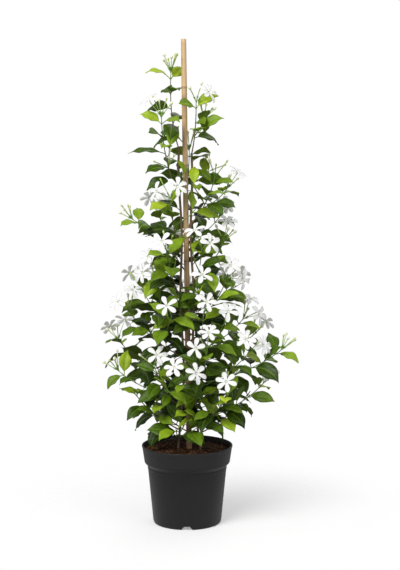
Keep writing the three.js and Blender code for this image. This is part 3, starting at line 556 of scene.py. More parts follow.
def take_cluster(taken, cluster):
    for flower in cluster["flowers"]:
        taken.add_curve(np.array([flower.start, flower.at]), TUBE_ROOM)
        for share in PETAL_RINGS:
            taken.add_ring(flower.at, squares(flower.facing), share * FLOWER_RADIUS, PETAL_SPOKES)
    for bud in cluster["buds"]:
        taken.add_curve(np.array([bud.start, bud.at]), TUBE_ROOM)


def take_wood(taken, stems, branches):
    cane = np.array([cane_at(SOIL_LEVEL), cane_at(CANE_TOP_Z)])
    taken.add_curve(cane, CANE_LOW_RADIUS + WOOD_ROOM)
    for z in (LOWER_TIE, UPPER_TIE):
        taken.add_ring(cane_at(z), (vec(1, 0, 0), vec(0, 1, 0)), TIE_REACH + TIE_PROUD, TIE_SPOKES)
    for stem in stems:
        taken.add_curve(stem["points"], STEM_RADIUS + WOOD_ROOM)
    for branch in branches:
        for curve in branch["curves"]:
            taken.add_curve(curve, BRANCH_RADIUS + WOOD_ROOM)


def branch_curves(stem, z, tips):
    """The first curve runs from a stem to the first tip, and the side shoots leave it."""
    curves = []
    for i, tip in enumerate(tips):
        share = SHOOT_FROM + SHOOT_STEP * (i - 1)
        start = curves[0][math.floor(AXIS_STEPS * share + 0.5)] if i else stem_at(stem, z)
        curves.append(bowed(start, vec(*tip[0])))
    return curves


def stem_leaves(taken, stem, s):
    """The pairs of leaves down a stem, which stand closer together lower down."""
    total = length_of(stem["points"]) - SOIL_DEEP
    leaves = []
    for pair in itertools.count():
        distance = STEM_LEAF_FIRST + pair * (STEM_LEAF_SPACING - STEM_LEAF_CLOSER * pair)
        if distance + STEM_LEAF_LAST > total:
            return leaves
        height = from_end(stem["points"], distance)[0][2]
        if all(abs(tie - height) > TIE_ROOM for tie in (LOWER_TIE, UPPER_TIE)):
            leaves += leaf_pair(taken, stem["points"], distance, pair, (STEM_KEY, s, pair), 0)


def grow_plant():
    """The whole plant: curves first, then clusters, then the leaves that find room."""
    taken = Taken()
    stems = []
    for name, (_, _, top) in STEMS.items():
        heights = np.linspace(SOIL_LEVEL - SOIL_DEEP, top, AXIS_STEPS + 1)
        stems.append({"name": name, "points": np.array([stem_at(name, z) for z in heights])})
    branches = []
    for name, stem, z, tips, shoots in BRANCHES:
        tips = tips + [(place, [], 0) for place in shoots]
        curves = branch_curves(stem, z, tips)
        branches.append({"name": name, "tips": tips, "curves": curves, "leaves": [], "clusters": []})
    take_wood(taken, stems, branches)
    for b, branch in enumerate(branches):
        for c, tip in enumerate(branch["tips"]):
            cluster = cluster_of(tip, branch["curves"][c], (b, c))
            branch["clusters"].append(cluster)
            take_cluster(taken, cluster)
    for pair in range(LEAF_PAIRS):
        for b, branch in enumerate(branches):
            for c, curve in enumerate(branch["curves"]):
                distance = LEAF_FIRST + pair * LEAF_SPACING
                young = max(0, 1 - pair / YOUNG_PAIRS)
                if length_of(curve) - distance > LEAF_LAST:
                    branch["leaves"] += leaf_pair(taken, curve, distance, pair + c, (b, c, pair), young)
    for s, stem in enumerate(stems):
        stem["leaves"] = stem_leaves(taken, stem, s)
    return stems, branches


# Closed surfaces, gathered into one piece
TUBE_END = 0.4


@functools.lru_cache(None)
def shell_faces(rows, around):
    """Faces of a closed surface of rings, with one more point in the middle of each end."""
    faces = []
    last = (rows - 1) * around
    for i in range(around):
        j = (i + 1) % around
        for low in range(0, last, around):
            faces.append((low + i, low + j, low + around + j, low + around + i))
        faces.append((rows * around, j, i))
        faces.append((rows * around + 1, last + i, last + j))
    return faces


class Surface:
    """Each point has a place, a blade value (share along, share across, underside) and a tone."""

    def __init__(self):
        self.points, self.blade, self.tone = [], [], []
        self.faces, self.looks = [], []
        self.count = 0

    def add(self, points, faces, look, blade, tone):
        self.points.append(points)
        self.blade.append(blade)
        self.tone.append(np.tile(vec(*tone), (len(points), 1)))
        self.faces += [tuple(i + self.count for i in face) for face in faces]
        self.looks += [look] * len(faces)
        self.count += len(points)

    def add_rings(self, rings, ends, look, shares, tone, across=None, under=None):
        rows, around = rings.shape[:2]
        points = np.vstack([rings.reshape(-1, 3), ends])
        blade = np.zeros((len(points), 3))
        blade[:-2, 0] = np.repeat(shares, around)
        blade[-2:, 0] = shares[0], shares[-1]
        if across is not None:
            blade[:-2, 1] = np.tile(across, rows)
            blade[:-2, 2] = np.tile(under, rows)
        self.add(points, shell_faces(rows, around), look, blade, tone)

    def add_tube(self, path, radii, sides, look, tone, shares=None):
        """A tube along a path, closed at both ends. Its section doesn't twist."""
        path = np.asarray(path, float)
        tangents = np.gradient(path, axis=0)
        tangents /= np.linalg.norm(tangents, axis=1)[:, None]
        radii = np.broadcast_to(radii, len(path))
        side = squares(tangents[0])[0]
        rings = []
        for at, along, radius in zip(path, tangents, radii):
            side = unit(side - along * np.dot(side, along))
            rings.append(at + radius * circle_of(sides, side, np.cross(along, side)))
        if shares is None:
            shares = np.linspace(0, 1, len(path))
        ends = [path[0] - tangents[0] * radii[0] * TUBE_END, path[-1] + tangents[-1] * radii[-1] * TUBE_END]
        self.add_rings(np.array(rings), ends, look, shares, tone)

    def make(self, name, looks, node):
        """The Blender mesh object, in metres, in the place of its CAD node."""
        mesh = bpy.data.meshes.new(name)
        points = np.vstack(self.points) * MM + POT_AXIS
        mesh.from_pydata(points.tolist(), [], self.faces)
        mesh.polygons.foreach_set("material_index", self.looks)
        for label, values in (("blade", self.blade), ("tone", self.tone)):
            carried = mesh.attributes.new(label, "FLOAT_VECTOR", "POINT")
            carried.data.foreach_set("vector", np.vstack(values).ravel())
        for look in looks:
            mesh.materials.append(look)
        mesh.shade_smooth()
        mesh.update()
        made = linked(name, mesh)
        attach(made, "root")
        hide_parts(node)
        return made


def bezier(points, count):
    """Points along a cubic curve from its four control points."""
    t = np.linspace(0, 1, count)[:, None]
    a, b, c, d = points
    return (1 - t) ** 3 * a + 3 * t * (1 - t) ** 2 * b + 3 * t * t * (1 - t) * c + t**3 * d


def resampled(points, spacing):
    """The same curve with its points at an even spacing."""
    steps = np.concatenate([[0], np.cumsum(np.linalg.norm(np.diff(points, axis=0), axis=1))])
    at = np.linspace(0, steps[-1], max(3, int(steps[-1] / spacing) + 1))
    return np.stack([np.interp(at, steps, points[:, i]) for i in range(3)], axis=1), at


# Leaves: closed thin shells with a round stalk, a raised midrib below and a drawn-out tip
LEAF_ACROSS = np.array([1, 0.84, 0.56, 0.26, 0, -0.26, -0.56, -0.84, -1])
PETAL_ACROSS = np.array([1, 0.7, 0.35, 0, -0.35, -0.7, -1])
LEAF_WALK = 80
LEAF_ROWS = 22
STALK_ROWS = (0, 0.05, 0.1)
LEAF_THICK = 0.16
LEAF_EDGE = 0.12
PETIOLE_HALF = 0.7
MIDRIB_DEEP = 0.5
MIDRIB_PROUD = 0.1
BLADE_LOOK = {"breadth": 1.08, "skew": 0.86, "tip_loss": 0.35, "tip_from": 0.62}
BLADE_RISE = {"fold": 1.25, "droop": 0.16, "crown": 0.07, "wave": 0.1, "waves": 2.3}
# How far youth and painted light move a leaf's colour towards lime
YOUNG_TINT = 0.62
PAINTED_LIGHT_TINT = 0.3


def loop_of(across):
    """A section's points go over the upper face and back under the lower one."""
    return np.concatenate([across, across[-2:0:-1]]), np.repeat([0, 1], [len(across), len(across) - 2])


def thin_shell(surface, path, side, normal, half, lift, thick, loop, look, shares, tone):
    """A blade: lift and thick are given at each row and each point across."""
    across, under = loop
    way = np.where(under, -1, 1) * (np.abs(across) < 1)
    width = (half[:, None] * across)[:, :, None]
    height = (lift + thick * way)[:, :, None]
    rings = path[:, None] + side[:, None] * width + normal[:, None] * height
    surface.add_rings(rings, [path[0], path[-1]], look, shares, tone, across, under)


def add_leaf(surface, leaf, look):
    steps = (np.arange(LEAF_WALK) + 0.5) / LEAF_WALK
    strides = leaf.along(steps) * (leaf.length / LEAF_WALK)
    t = np.concatenate([STALK_ROWS, PETIOLE + (1 - PETIOLE) * smooth_rows(LEAF_ROWS)])
    path = smoothly(np.vstack([leaf.at, leaf.at + np.cumsum(strides, axis=0)]), t)
    side, normal = leaf.frame(leaf.along(t))
    s = np.clip((t - PETIOLE) / (1 - PETIOLE), 0, 1)
    tip = 1 - BLADE_LOOK["tip_loss"] * smooth(BLADE_LOOK["tip_from"], 1, s)
    shape = BLADE_LOOK["breadth"] * np.sin(np.pi * s ** BLADE_LOOK["skew"]) * tip
    stalk_half = PETIOLE_HALF * (1 - smooth(0.1, 0.96, s)) + LEAF_EDGE
    half = np.maximum(leaf.half * np.maximum(shape, 0), stalk_half)
    loop = loop_of(LEAF_ACROSS)
    u = np.abs(loop[0])
    beat = 2 * np.pi * (BLADE_RISE["waves"] * s[:, None] + leaf.seed + 0.5 * (loop[0] > 0))
    wave = leaf.half * BLADE_RISE["wave"] * np.sin(beat) * u**2 * smooth(0.05, 0.3, s)[:, None]
    section = leaf.fold * BLADE_RISE["fold"] * u - BLADE_RISE["droop"] * u**3
    section = section + BLADE_RISE["crown"] * np.sin(np.pi * u)
    stalk = 1 - smooth(0.0, 0.06, s)[:, None]
    rib = (1 - smooth(0, 0.3, u)) * (1 - 0.8 * s[:, None])
    thick = LEAF_THICK + np.where(loop[1], rib * MIDRIB_DEEP, -rib * MIDRIB_PROUD)
    thick = thick * (1 - stalk) + stalk * PETIOLE_HALF * np.sqrt(np.maximum(0.0, 1 - u**2))
    # The tone's first part holds youth and painted light together.
    lime_and_painted_light = YOUNG_TINT * leaf.young * (0.45 + 0.55 * leaf.seed) + PAINTED_LIGHT_TINT * leaf.light
    lift = half[:, None] * section + wave
    thin_shell(surface, path, side, normal, half, lift, thick, loop, look, t, (lime_and_painted_light, leaf.seed, 0))


@functools.lru_cache(None)
def smooth_rows(count):
    """Shares from 0 to 1 that lie closer together at both ends."""
    x = np.linspace(0, 1, count)
    return 0.65 * x + 0.35 * (1 - np.cos(np.pi * x)) / 2


# Flowers and buds
PETAL_ROWS = 12
PETAL_THICK = 0.2
PETAL_LENGTH = 19.5
PETAL_HALF = 4.7
PETAL_FOOT = 1.9
PETAL_EDGE = 0.15
PETAL_ROUND = 0.68
PETAL_CUP = 0.2
PETAL_WAVE = 0.35

# Angles of a petal in degrees: its turn round the flower, its rise at the throat, its fall and roll.
PETAL_TURN = 22
PETAL_RISE = 30
PETAL_FALL = (38, 64)
PETAL_ROLL = 26

THROAT = 1.1
THROAT_DEEP = 0.8
STALK_SIDES = 7

# How the way out of the cluster bends: how far it follows the shoot, and the reach of each handle
SHOOT_PULL = 0.7
STALK_HANDLES = (0.3, 0.42)

# Each stalk's thickness: at its foot, and then what each stretch adds as (amount, from, to)
TUBE_ROWS = 16
TUBE_HALF = 0.55
TUBE_STRETCHES = ((0.45, 0.16, 0.22), (-0.4, 0.28, 0.36), (0.25, 0.4, 0.8), (THROAT - TUBE_HALF, 0.9, 1))
BUD_ROWS = 20
BUD_HALF = 0.62
BUD_STRETCHES = ((0.4, 0.14, 0.2), (-0.35, 0.26, 0.34), (0.3, 0.4, 0.7))
BUD_SMALLEST = 0.55
BUD_HEAD = 2.9
CALYX_TEETH = 6
CALYX_ROW = 3
CALYX_TOOTH = {"foot": 0.7, "bend": (2, 1.15), "point": (4.4, 1.7), "radii": (0.4, 0.3, 0.07)}
SEAT_RADII = (0.9, 1.1, 0.7)
SIX_PETALS_OVER = 0.65


def add_petal(surface, flower, angle, seed, look):
    level, steep = squares(flower.facing)
    s = np.sin(np.linspace(0, math.pi / 2, PETAL_ROWS)) ** 0.9
    turned = angle + math.radians(PETAL_TURN * (seed - 0.5)) * s**2
    out = np.cos(turned)[:, None] * level + np.sin(turned)[:, None] * steep
    rise = math.radians(PETAL_RISE) - math.radians(mix(*PETAL_FALL, seed)) * s**0.8
    along = np.cos(rise)[:, None] * out + np.sin(rise)[:, None] * flower.facing
    length = PETAL_LENGTH * (0.93 + 0.12 * seed)
    strides = np.diff(s, prepend=0)[:, None] * length
    foot = flower.at + out[0] * THROAT - flower.facing * THROAT_DEEP
    path = foot + np.cumsum(along * strides, axis=0)
    side = np.cross(flower.facing, out)
    roll = math.radians(PETAL_ROLL * (0.5 - seed)) * s[:, None]
    normal = np.cross(along, side)
    turn, over = np.cos(roll), np.sin(roll)
    side, normal = side * turn + normal * over, normal * turn - side * over
    end = np.sqrt(np.maximum(0, 1 - (np.maximum(0, s - PETAL_ROUND) / (1 - PETAL_ROUND)) ** 2))
    half = np.maximum(PETAL_EDGE, (PETAL_FOOT + (PETAL_HALF - PETAL_FOOT) * smooth(0, 0.7, s)) * end)
    loop = loop_of(PETAL_ACROSS)
    u = np.abs(loop[0])
    wave = PETAL_WAVE * np.sin(5 * s[:, None] + 9 * seed + 2 * loop[0]) * u * smooth(0.2, 0.7, s)[:, None]
    lift = half[:, None] * PETAL_CUP * u**2 + wave
    thick = PETAL_THICK * np.ones_like(lift)
    thin_shell(surface, path, side, normal, half, lift, thick, loop, look, s, (0, seed, 0))


def stalk_path(member, along, end, count):
    """From the cluster's start: off along the shoot, then round to the way the head faces."""
    reach = np.linalg.norm(end - member.start)
    first, last = STALK_HANDLES
    off = member.start + unit(along * SHOOT_PULL + member.along) * first * reach
    return bezier([member.start, off, end - member.facing * last * reach, end], count)


def stalk_radii(foot, stretches, s):
    return foot + sum(amount * smooth(low, high, s) for amount, low, high in stretches)


def add_calyx(surface, path, look, seed):
    """A small green cup with narrow teeth round the tube."""
    at = path[CALYX_ROW]
    along = unit(path[CALYX_ROW + 1] - at)
    level, steep = squares(along)
    for i in range(CALYX_TEETH):
        out = between(level, steep, 2 * math.pi * (i + seed) / CALYX_TEETH)
        tooth = [at + out * CALYX_TOOTH["foot"]]
        for (rise, spread), more in ((CALYX_TOOTH["bend"], 0), (CALYX_TOOTH["point"], seed)):
            tooth.append(at + along * (rise + more) + out * (spread + more))
        surface.add_tube(tooth, CALYX_TOOTH["radii"], 4, look, (0.25, seed, 0), shares=vec(0.2, 0.22, 0.24))


def add_flower(surface, flower, along, keys, looks):
    petal, stalk = looks
    path = stalk_path(flower, along, flower.at - flower.facing * 0.6, TUBE_ROWS)
    s = np.linspace(0, 1, TUBE_ROWS)
    radii = stalk_radii(TUBE_HALF, TUBE_STRETCHES, s)
    surface.add_tube(path, radii, STALK_SIDES, stalk, (1, flower.seed, 0.9))
    add_calyx(surface, path, stalk, flower.seed)
    count = 6 if chance(*keys, 20) > SIX_PETALS_OVER else 5
    spin = 2 * math.pi * flower.seed
    for i in range(count):
        angle = spin + 2 * math.pi * (i + 0.25 * (chance(*keys, i, 21) - 0.5)) / count
        add_petal(surface, flower, angle, chance(*keys, i, 22), petal)


def add_bud(surface, bud, along, look):
    grown = bud.seed
    bulb = BUD_RADIUS * mix(BUD_SMALLEST, 1, grown)
    end = bud.at + bud.facing * bulb * 0.9
    path = stalk_path(bud, along, end, BUD_ROWS)
    total = length_of(path)
    s = np.linspace(0, 1, BUD_ROWS) ** 0.8
    path = smoothly(path, s)
    head = 1 - BUD_HEAD * bulb / total
    t = np.clip((s - head) / (1 - head), 0, 1)
    radii = stalk_radii(BUD_HALF, BUD_STRETCHES, s)
    swell = np.sin(np.pi * t**0.85) ** 1.2 * (bulb - 0.5)
    radii = radii * (1 - 0.75 * smooth(0.75, 1, t)) + swell
    surface.add_tube(path, radii, STALK_SIDES, look, (0.55 * grown, bud.seed, grown), shares=s)
    add_calyx(surface, path, look, grown)


# Shoots and stems
TWIG_SIDES = 7
TWIG_STEP = 4
NODE_SWELL = 0.22
NODE_HALF = 2.2
STEM_SIDES = 10
STEM_STEP = 5
# Leaves on the stems get half as much painted light.
STEM_LEAF_PAINTED_LIGHT = 0.5


def add_twig(surface, points, low, high, nodes, look, tone):
    """A shoot that thins towards its tip and swells a little where its leaves grow."""
    path, walked = resampled(points, TWIG_STEP)
    back = walked[-1] - walked
    radii = low + (high - low) * walked / walked[-1]
    for node in nodes:
        radii = radii + NODE_SWELL * np.exp(-(((back - node) / NODE_HALF) ** 2))
    surface.add_tube(path, radii, TWIG_SIDES, look, tone)


# Looks, numbered as each plant piece lists its materials
LEAF_LOOK, TWIG_LOOK, STALK_LOOK, PETAL_LOOK = range(4)

# The thickness of a side shoot and of a tip, as shares of a branch's foot
SIDE_SHOOT_SHARE = 0.8
TIP_SHARE = 0.62

# What makes a leaf paler: painted light on a high place and on a far reach, and its own tone by chance
HIGH_FROM, HIGH_TO = 380, 700
FAR_REACH = 120
PALE_OVER = 0.88


def painted_leaf_light(leaf, keys):
    """Painted light: high leaves and those that reach out are painted paler, standing in for the light they
    catch; a few are paler by chance, as their own tone.
    """
    far = 0.45 * math.hypot(leaf.at[0], leaf.at[1]) / FAR_REACH * chance(*keys, 31)
    high = 0.5 * smooth(HIGH_FROM, HIGH_TO, leaf.at[2])
    return min(1.0, high + far + (0.9 if chance(*keys, 32) > PALE_OVER else 0))


def grow_branch(branch, b, looks):
    surface = Surface()
    for c, curve in enumerate(branch["curves"]):
        cluster = branch["clusters"][c]
        tip = branch["tips"][c]
        in_bloom = bool(tip[1] or tip[2])
        points = np.vstack([curve, cluster["start"]]) if in_bloom else curve
        nodes = [LEAF_FIRST + pair * LEAF_SPACING for pair in range(LEAF_PAIRS)]
        low = BRANCH_RADIUS if c == 0 else BRANCH_RADIUS * SIDE_SHOOT_SHARE
        tone = (c == 0, chance(b, c, 30), 0)
        add_twig(surface, points, low, BRANCH_RADIUS * TIP_SHARE, nodes, TWIG_LOOK, tone)
        if not tip[1]:
            for bud in cluster["buds"]:
                add_bud(surface, bud, cluster["along"], STALK_LOOK)
    for i, leaf in enumerate(branch["leaves"]):
        leaf.light = painted_leaf_light(leaf, (b, i))
        add_leaf(surface, leaf, LEAF_LOOK)
    surface.make("leaves_" + branch["name"], looks[:3], "branch_" + branch["name"])


def grow_cluster(cluster, name, looks):
    surface = Surface()
    start, along = cluster["start"], cluster["along"]
    surface.add_tube([start - along, start, start + along], SEAT_RADII, 8, STALK_LOOK, (0, 0.5, 0))
    for i, flower in enumerate(cluster["flowers"]):
        add_flower(surface, flower, along, (*cluster["keys"], i), (PETAL_LOOK, STALK_LOOK))
    for bud in cluster["buds"]:
        add_bud(surface, bud, along, STALK_LOOK)
    surface.make("blossom_" + name, looks, "flowers_" + name)


def grow_stem(stem, s, looks):
    surface = Surface()
    path = stem["points"]
    surface.add_tube(resampled(path, STEM_STEP)[0], STEM_RADIUS, STEM_SIDES, TWIG_LOOK, (1, 0.3 * s, 1))
    for i, leaf in enumerate(stem["leaves"]):
        leaf.light = painted_leaf_light(leaf, (STEM_KEY + s, i)) * STEM_LEAF_PAINTED_LIGHT
        add_leaf(surface, leaf, LEAF_LOOK)
    surface.make("woody_stem_" + stem["name"], looks[:2], "stem_" + stem["name"])


# Materials. Every look comes from nodes: object coordinates are in metres, and the plant's surfaces
# carry the blade and tone values.
class Value:
    """What a node gives. Sums, differences and products of values are nodes too."""

    def __init__(self, shader, socket):
        self.shader, self.socket = shader, socket

    def __add__(self, other):
        return self.shader.sum("ADD", self, other)

    def __sub__(self, other):
        return self.shader.sum("SUBTRACT", self, other)

    def __mul__(self, other):
        return self.shader.sum("MULTIPLY", self, other)


class Shader:
    def __init__(self, name, **settings):
        self.material = bpy.data.materials.new(name)
        self.material.use_nodes = True
        tree = self.material.node_tree
        self.nodes, self.links = tree.nodes, tree.links
        self.nodes.clear()
        self.surface = self.nodes.new("ShaderNodeBsdfPrincipled")
        output = self.nodes.new("ShaderNodeOutputMaterial")
        self.links.new(self.surface.outputs[0], output.inputs[0])
        for label, value in settings.items():
            self.surface.inputs[label.replace("_", " ").title().replace("Ior", "IOR")].default_value = value
        self.place = self.take(self.node("ShaderNodeTexCoord"), "Object")

    def node(self, kind, *values, **settings):
        """A node with its settings and its inputs in order; None leaves an input as it is."""
        made = self.nodes.new(kind)
        for label, value in settings.items():
            setattr(made, label, value)
        for socket, value in zip([i for i in made.inputs if i.enabled], values):
            self.feed(socket, value)
        return made

    def take(self, made, output=0):
        return Value(self, made.outputs[output])

    def feed(self, socket, value):
        if isinstance(value, Value):
            self.links.new(value.socket, socket)
        elif socket.type == "RGBA":
            socket.default_value = (*value, 1.0)
        elif value is not None:
            socket.default_value = value

    def sum(self, operation, *values):
        return self.take(self.node("ShaderNodeMath", *values, operation=operation))

    def noise(self, scale, detail=3, rough=0.5):
        return self.take(self.node("ShaderNodeTexNoise", self.place, scale, detail, rough), "Fac")

    def streaks(self, scales, detail, rough):
        """Noise with a scale of its own along each axis."""
        place = self.take(self.node("ShaderNodeVectorMath", self.place, scales, operation="MULTIPLY"))
        return self.take(self.node("ShaderNodeTexNoise", place, 1, detail, rough), "Fac")

    def between(self, value, low, high, start=0.0, end=1.0):
        """A value's smooth passage from low to high, as start to end."""
        values = (value, low, high, start, end)
        return self.take(self.node("ShaderNodeMapRange", *values, interpolation_type="SMOOTHSTEP"))

    def mix(self, share, a, b):
        made = self.nodes.new("ShaderNodeMix")
        made.data_type = "RGBA"
        for index, value in ((0, share), (6, a), (7, b)):
            self.feed(made.inputs[index], value)
        return self.take(made, 2)

    def ramp(self, value, *stops):
        made = self.node("ShaderNodeValToRGB", value)
        elements = made.color_ramp.elements
        while len(elements) < len(stops):
            elements.new(0.5)
        for element, (position, colour) in zip(elements, stops):
            element.position = position
            element.color = (*colour, 1.0)
        return self.take(made)

    def parts_of(self, name):
        """The three parts of a surface's blade or tone value."""
        attribute = self.take(self.node("ShaderNodeAttribute", attribute_name=name), "Vector")
        parts = self.node("ShaderNodeSeparateXYZ", attribute)
        return [self.take(parts, i) for i in range(3)]

    def colour(self, value):
        self.feed(self.surface.inputs["Base Color"], value)

    def rough(self, value):
        self.feed(self.surface.inputs["Roughness"], value)

    def bump(self, height, distance, strength):
        made = self.node("ShaderNodeBump")
        for label, value in (("Strength", strength), ("Distance", distance), ("Height", height)):
            self.feed(made.inputs[label], value)
        self.feed(self.surface.inputs["Normal"], self.take(made))


VEINS = 8
PETAL_VEINS = 21


def leaf_material():
    """Dark glossy green to lime when young and where painted light falls, with a pale midrib, arched side
    veins and a dull underside.
    """
    m = Shader("jasmine_leaf", specular_ior_level=0.22)
    along, across, under = m.parts_of("blade")
    # The tone's first part is youth and painted light together.
    young, seed, _ = m.parts_of("tone")
    off = m.sum("ABSOLUTE", across)
    blotch = m.noise(95, detail=4)
    tint = young + (blotch - 0.5) * 0.3 + (seed - 0.5) * 0.1
    green = m.ramp(
        tint,
        (0.0, (0.013, 0.033, 0.0012)),
        (0.3, (0.056, 0.116, 0.003)),
        (0.6, (0.185, 0.305, 0.01)),
        (1.0, (0.45, 0.57, 0.03)),
    )
    arch = along - off * off * 0.07 - off * 0.14
    step = m.sum("GREATER_THAN", across, 0.0) * 0.06
    beat = m.sum("FRACT", (arch + step) * VEINS)
    ridge = m.sum("ABSOLUTE", beat - 0.5)
    vein = m.between(ridge, 0.43, 0.5) * m.between(off, 0.98, 0.7)
    rib = m.between(off, 0.085, 0.03)
    lines = m.sum("MAXIMUM", rib, vein * 0.4)
    pale = m.mix(0.5, green, (0.32, 0.44, 0.05))
    top = m.mix(lines * 0.6, green, pale)
    below = m.mix(0.5, top, (0.17, 0.26, 0.035))
    m.colour(m.mix(m.between(under, 0.3, 0.7), top, below))
    fine = m.noise(2600, detail=2)
    m.rough(m.between(under, 0.3, 0.7, 0.33, 0.6) + blotch * 0.16)
    quilt = m.between(ridge, 0.5, 0.1) * 0.5 - rib * 0.8
    m.bump(quilt + fine * 0.12, distance=0.0007, strength=0.55)
    return m.material


def twig_material():
    """Bark: grey-brown and cracked on the woody stems, greener up each shoot."""
    m = Shader("jasmine_bark")
    along, _, _ = m.parts_of("blade")
    trunk, _, woody = m.parts_of("tone")
    streak = m.streaks((900, 900, 160), detail=4, rough=0.6)
    age = trunk * 0.65 + woody * 0.6 - along + (streak - 0.5) * 0.5
    m.colour(m.ramp(
        age + 0.45,
        (0.0, (0.13, 0.24, 0.04)),
        (0.35, (0.075, 0.13, 0.03)),
        (0.65, (0.11, 0.085, 0.04)),
        (1.0, (0.2, 0.13, 0.075)),
    ))
    m.rough(m.between(age, -0.4, 0.6, 0.5, 0.85))
    m.bump(streak, distance=0.0006, strength=0.8)
    return m.material


def stalk_material():
    """Flower tubes and buds: green foot and calyx, pale tube, and a cream head once it is grown."""
    m = Shader("jasmine_stalk", subsurface_weight=0.1, subsurface_scale=0.001)
    along, _, _ = m.parts_of("blade")
    _, _, grown = m.parts_of("tone")
    mottle = m.noise(700, detail=3)
    where = along + (mottle - 0.5) * 0.12
    ripe = m.ramp(
        where,
        (0.0, (0.12, 0.25, 0.03)),
        (0.35, (0.2, 0.36, 0.05)),
        (0.6, (0.4, 0.52, 0.15)),
        (0.8, (0.62, 0.68, 0.34)),
        (0.97, (0.86, 0.86, 0.7)),
    )
    unripe = m.ramp(
        where,
        (0.0, (0.1, 0.22, 0.025)),
        (0.5, (0.19, 0.34, 0.045)),
        (0.9, (0.42, 0.52, 0.14)),
    )
    m.colour(m.mix(m.between(grown, 0.15, 0.6), unripe, ripe))
    m.rough(mottle * 0.2 + 0.42)
    m.bump(m.noise(1800, detail=2), distance=0.0003, strength=0.5)
    return m.material


def petal_material():
    """White petals with fine lengthwise veins and a faint green throat."""
    m = Shader("jasmine_petal", subsurface_weight=0.35, subsurface_scale=0.005, subsurface_radius=(1, 1, 1))
    along, across, _ = m.parts_of("blade")
    lines = m.sum("SINE", across * PETAL_VEINS)
    soft = m.noise(240, detail=3)
    white = m.mix(soft * 0.5, (0.985, 0.985, 0.98), (0.95, 0.955, 0.935))
    veined = m.mix(m.between(lines, 0.4, 1.0, 0.0, 0.22), white, (0.74, 0.76, 0.7))
    m.colour(m.mix(m.between(along, 0.18, 0.02, 0.0, 0.5), veined, (0.76, 0.8, 0.56)))
    m.rough(soft * 0.15 + 0.5)
    m.bump(lines * 0.4 + m.noise(900, detail=2), distance=0.00015, strength=0.4)
    return m.material


def pot_material():
    """Charcoal moulded plastic: a fine grain, faint turning lines, scuffs, a little dried dust, and a
    painted sheen that makes the band above the step lighter.
    """
    m = Shader("pot_plastic", specular_ior_level=0.3)
    grain = m.noise(1900, detail=3, rough=0.6)
    rings = m.streaks((12, 12, 1400), detail=3, rough=0.5)
    cloud = m.noise(22, detail=4, rough=0.6)
    dust = m.between(m.noise(310, detail=5, rough=0.65), 0.6, 0.78) * m.between(cloud, 0.42, 0.62)
    scuff = m.between(m.streaks((60, 60, 700), detail=2, rough=0.7), 0.66, 0.74)
    base = m.mix(cloud, (0.0065, 0.0065, 0.0068), (0.011, 0.011, 0.0113))
    # Painted sheen: the band above the step is painted lighter than the body, standing in for light on it.
    height = m.take(m.node("ShaderNodeSeparateXYZ", m.place), 2)
    painted_band_sheen = m.between(height, BAND_LOW * MM, (BAND_LOW + STEP_HEIGHT) * MM, 0.0, 0.45)
    base = m.mix(painted_band_sheen, base, (0.02, 0.02, 0.0204))
    worn = m.mix(scuff * 0.3, base, (0.04, 0.04, 0.04))
    m.colour(m.mix(dust * 0.22, worn, (0.09, 0.08, 0.068)))
    m.rough(cloud * 0.12 + 0.36 + m.sum("MAXIMUM", scuff, dust) * 0.2)
    m.bump(grain + rings * 0.7, distance=0.00022, strength=0.6)
    return m.material


def soil_material():
    """Moist potting mix: dark peat with rusty bark and paler crumbs."""
    m = Shader("potting_soil", specular_ior_level=0.12)
    clump = m.noise(140, detail=5, rough=0.7)
    crumb = m.node("ShaderNodeTexVoronoi", m.place, 520.0)
    tone = m.take(m.node("ShaderNodeSeparateXYZ", m.take(crumb, "Color")))
    m.colour(m.ramp(
        clump * 0.6 + tone * 0.4,
        (0.2, (0.009, 0.0045, 0.002)),
        (0.5, (0.034, 0.015, 0.006)),
        (0.7, (0.095, 0.042, 0.014)),
        (0.9, (0.18, 0.09, 0.035)),
    ))
    m.rough(m.between(clump, 0.3, 0.7, 0.7, 0.95))
    m.bump(clump - m.take(crumb, "Distance") * 0.8, distance=0.002, strength=1.0)
    return m.material


def fibre_material():
    """Coir fibres and bark flakes in the mix, each in its own brown."""
    m = Shader("coir_fibre", specular_ior_level=0.2)
    _, seed, _ = m.parts_of("tone")
    streak = m.noise(1500, detail=3)
    m.colour(m.ramp(
        seed + (streak - 0.5) * 0.5,
        (0.0, (0.02, 0.009, 0.005)),
        (0.5, (0.1, 0.035, 0.014)),
        (0.85, (0.22, 0.1, 0.045)),
        (1.0, (0.38, 0.22, 0.12)),
    ))
    m.rough(streak * 0.25 + 0.65)
    m.bump(streak, distance=0.0004, strength=0.7)
    return m.material


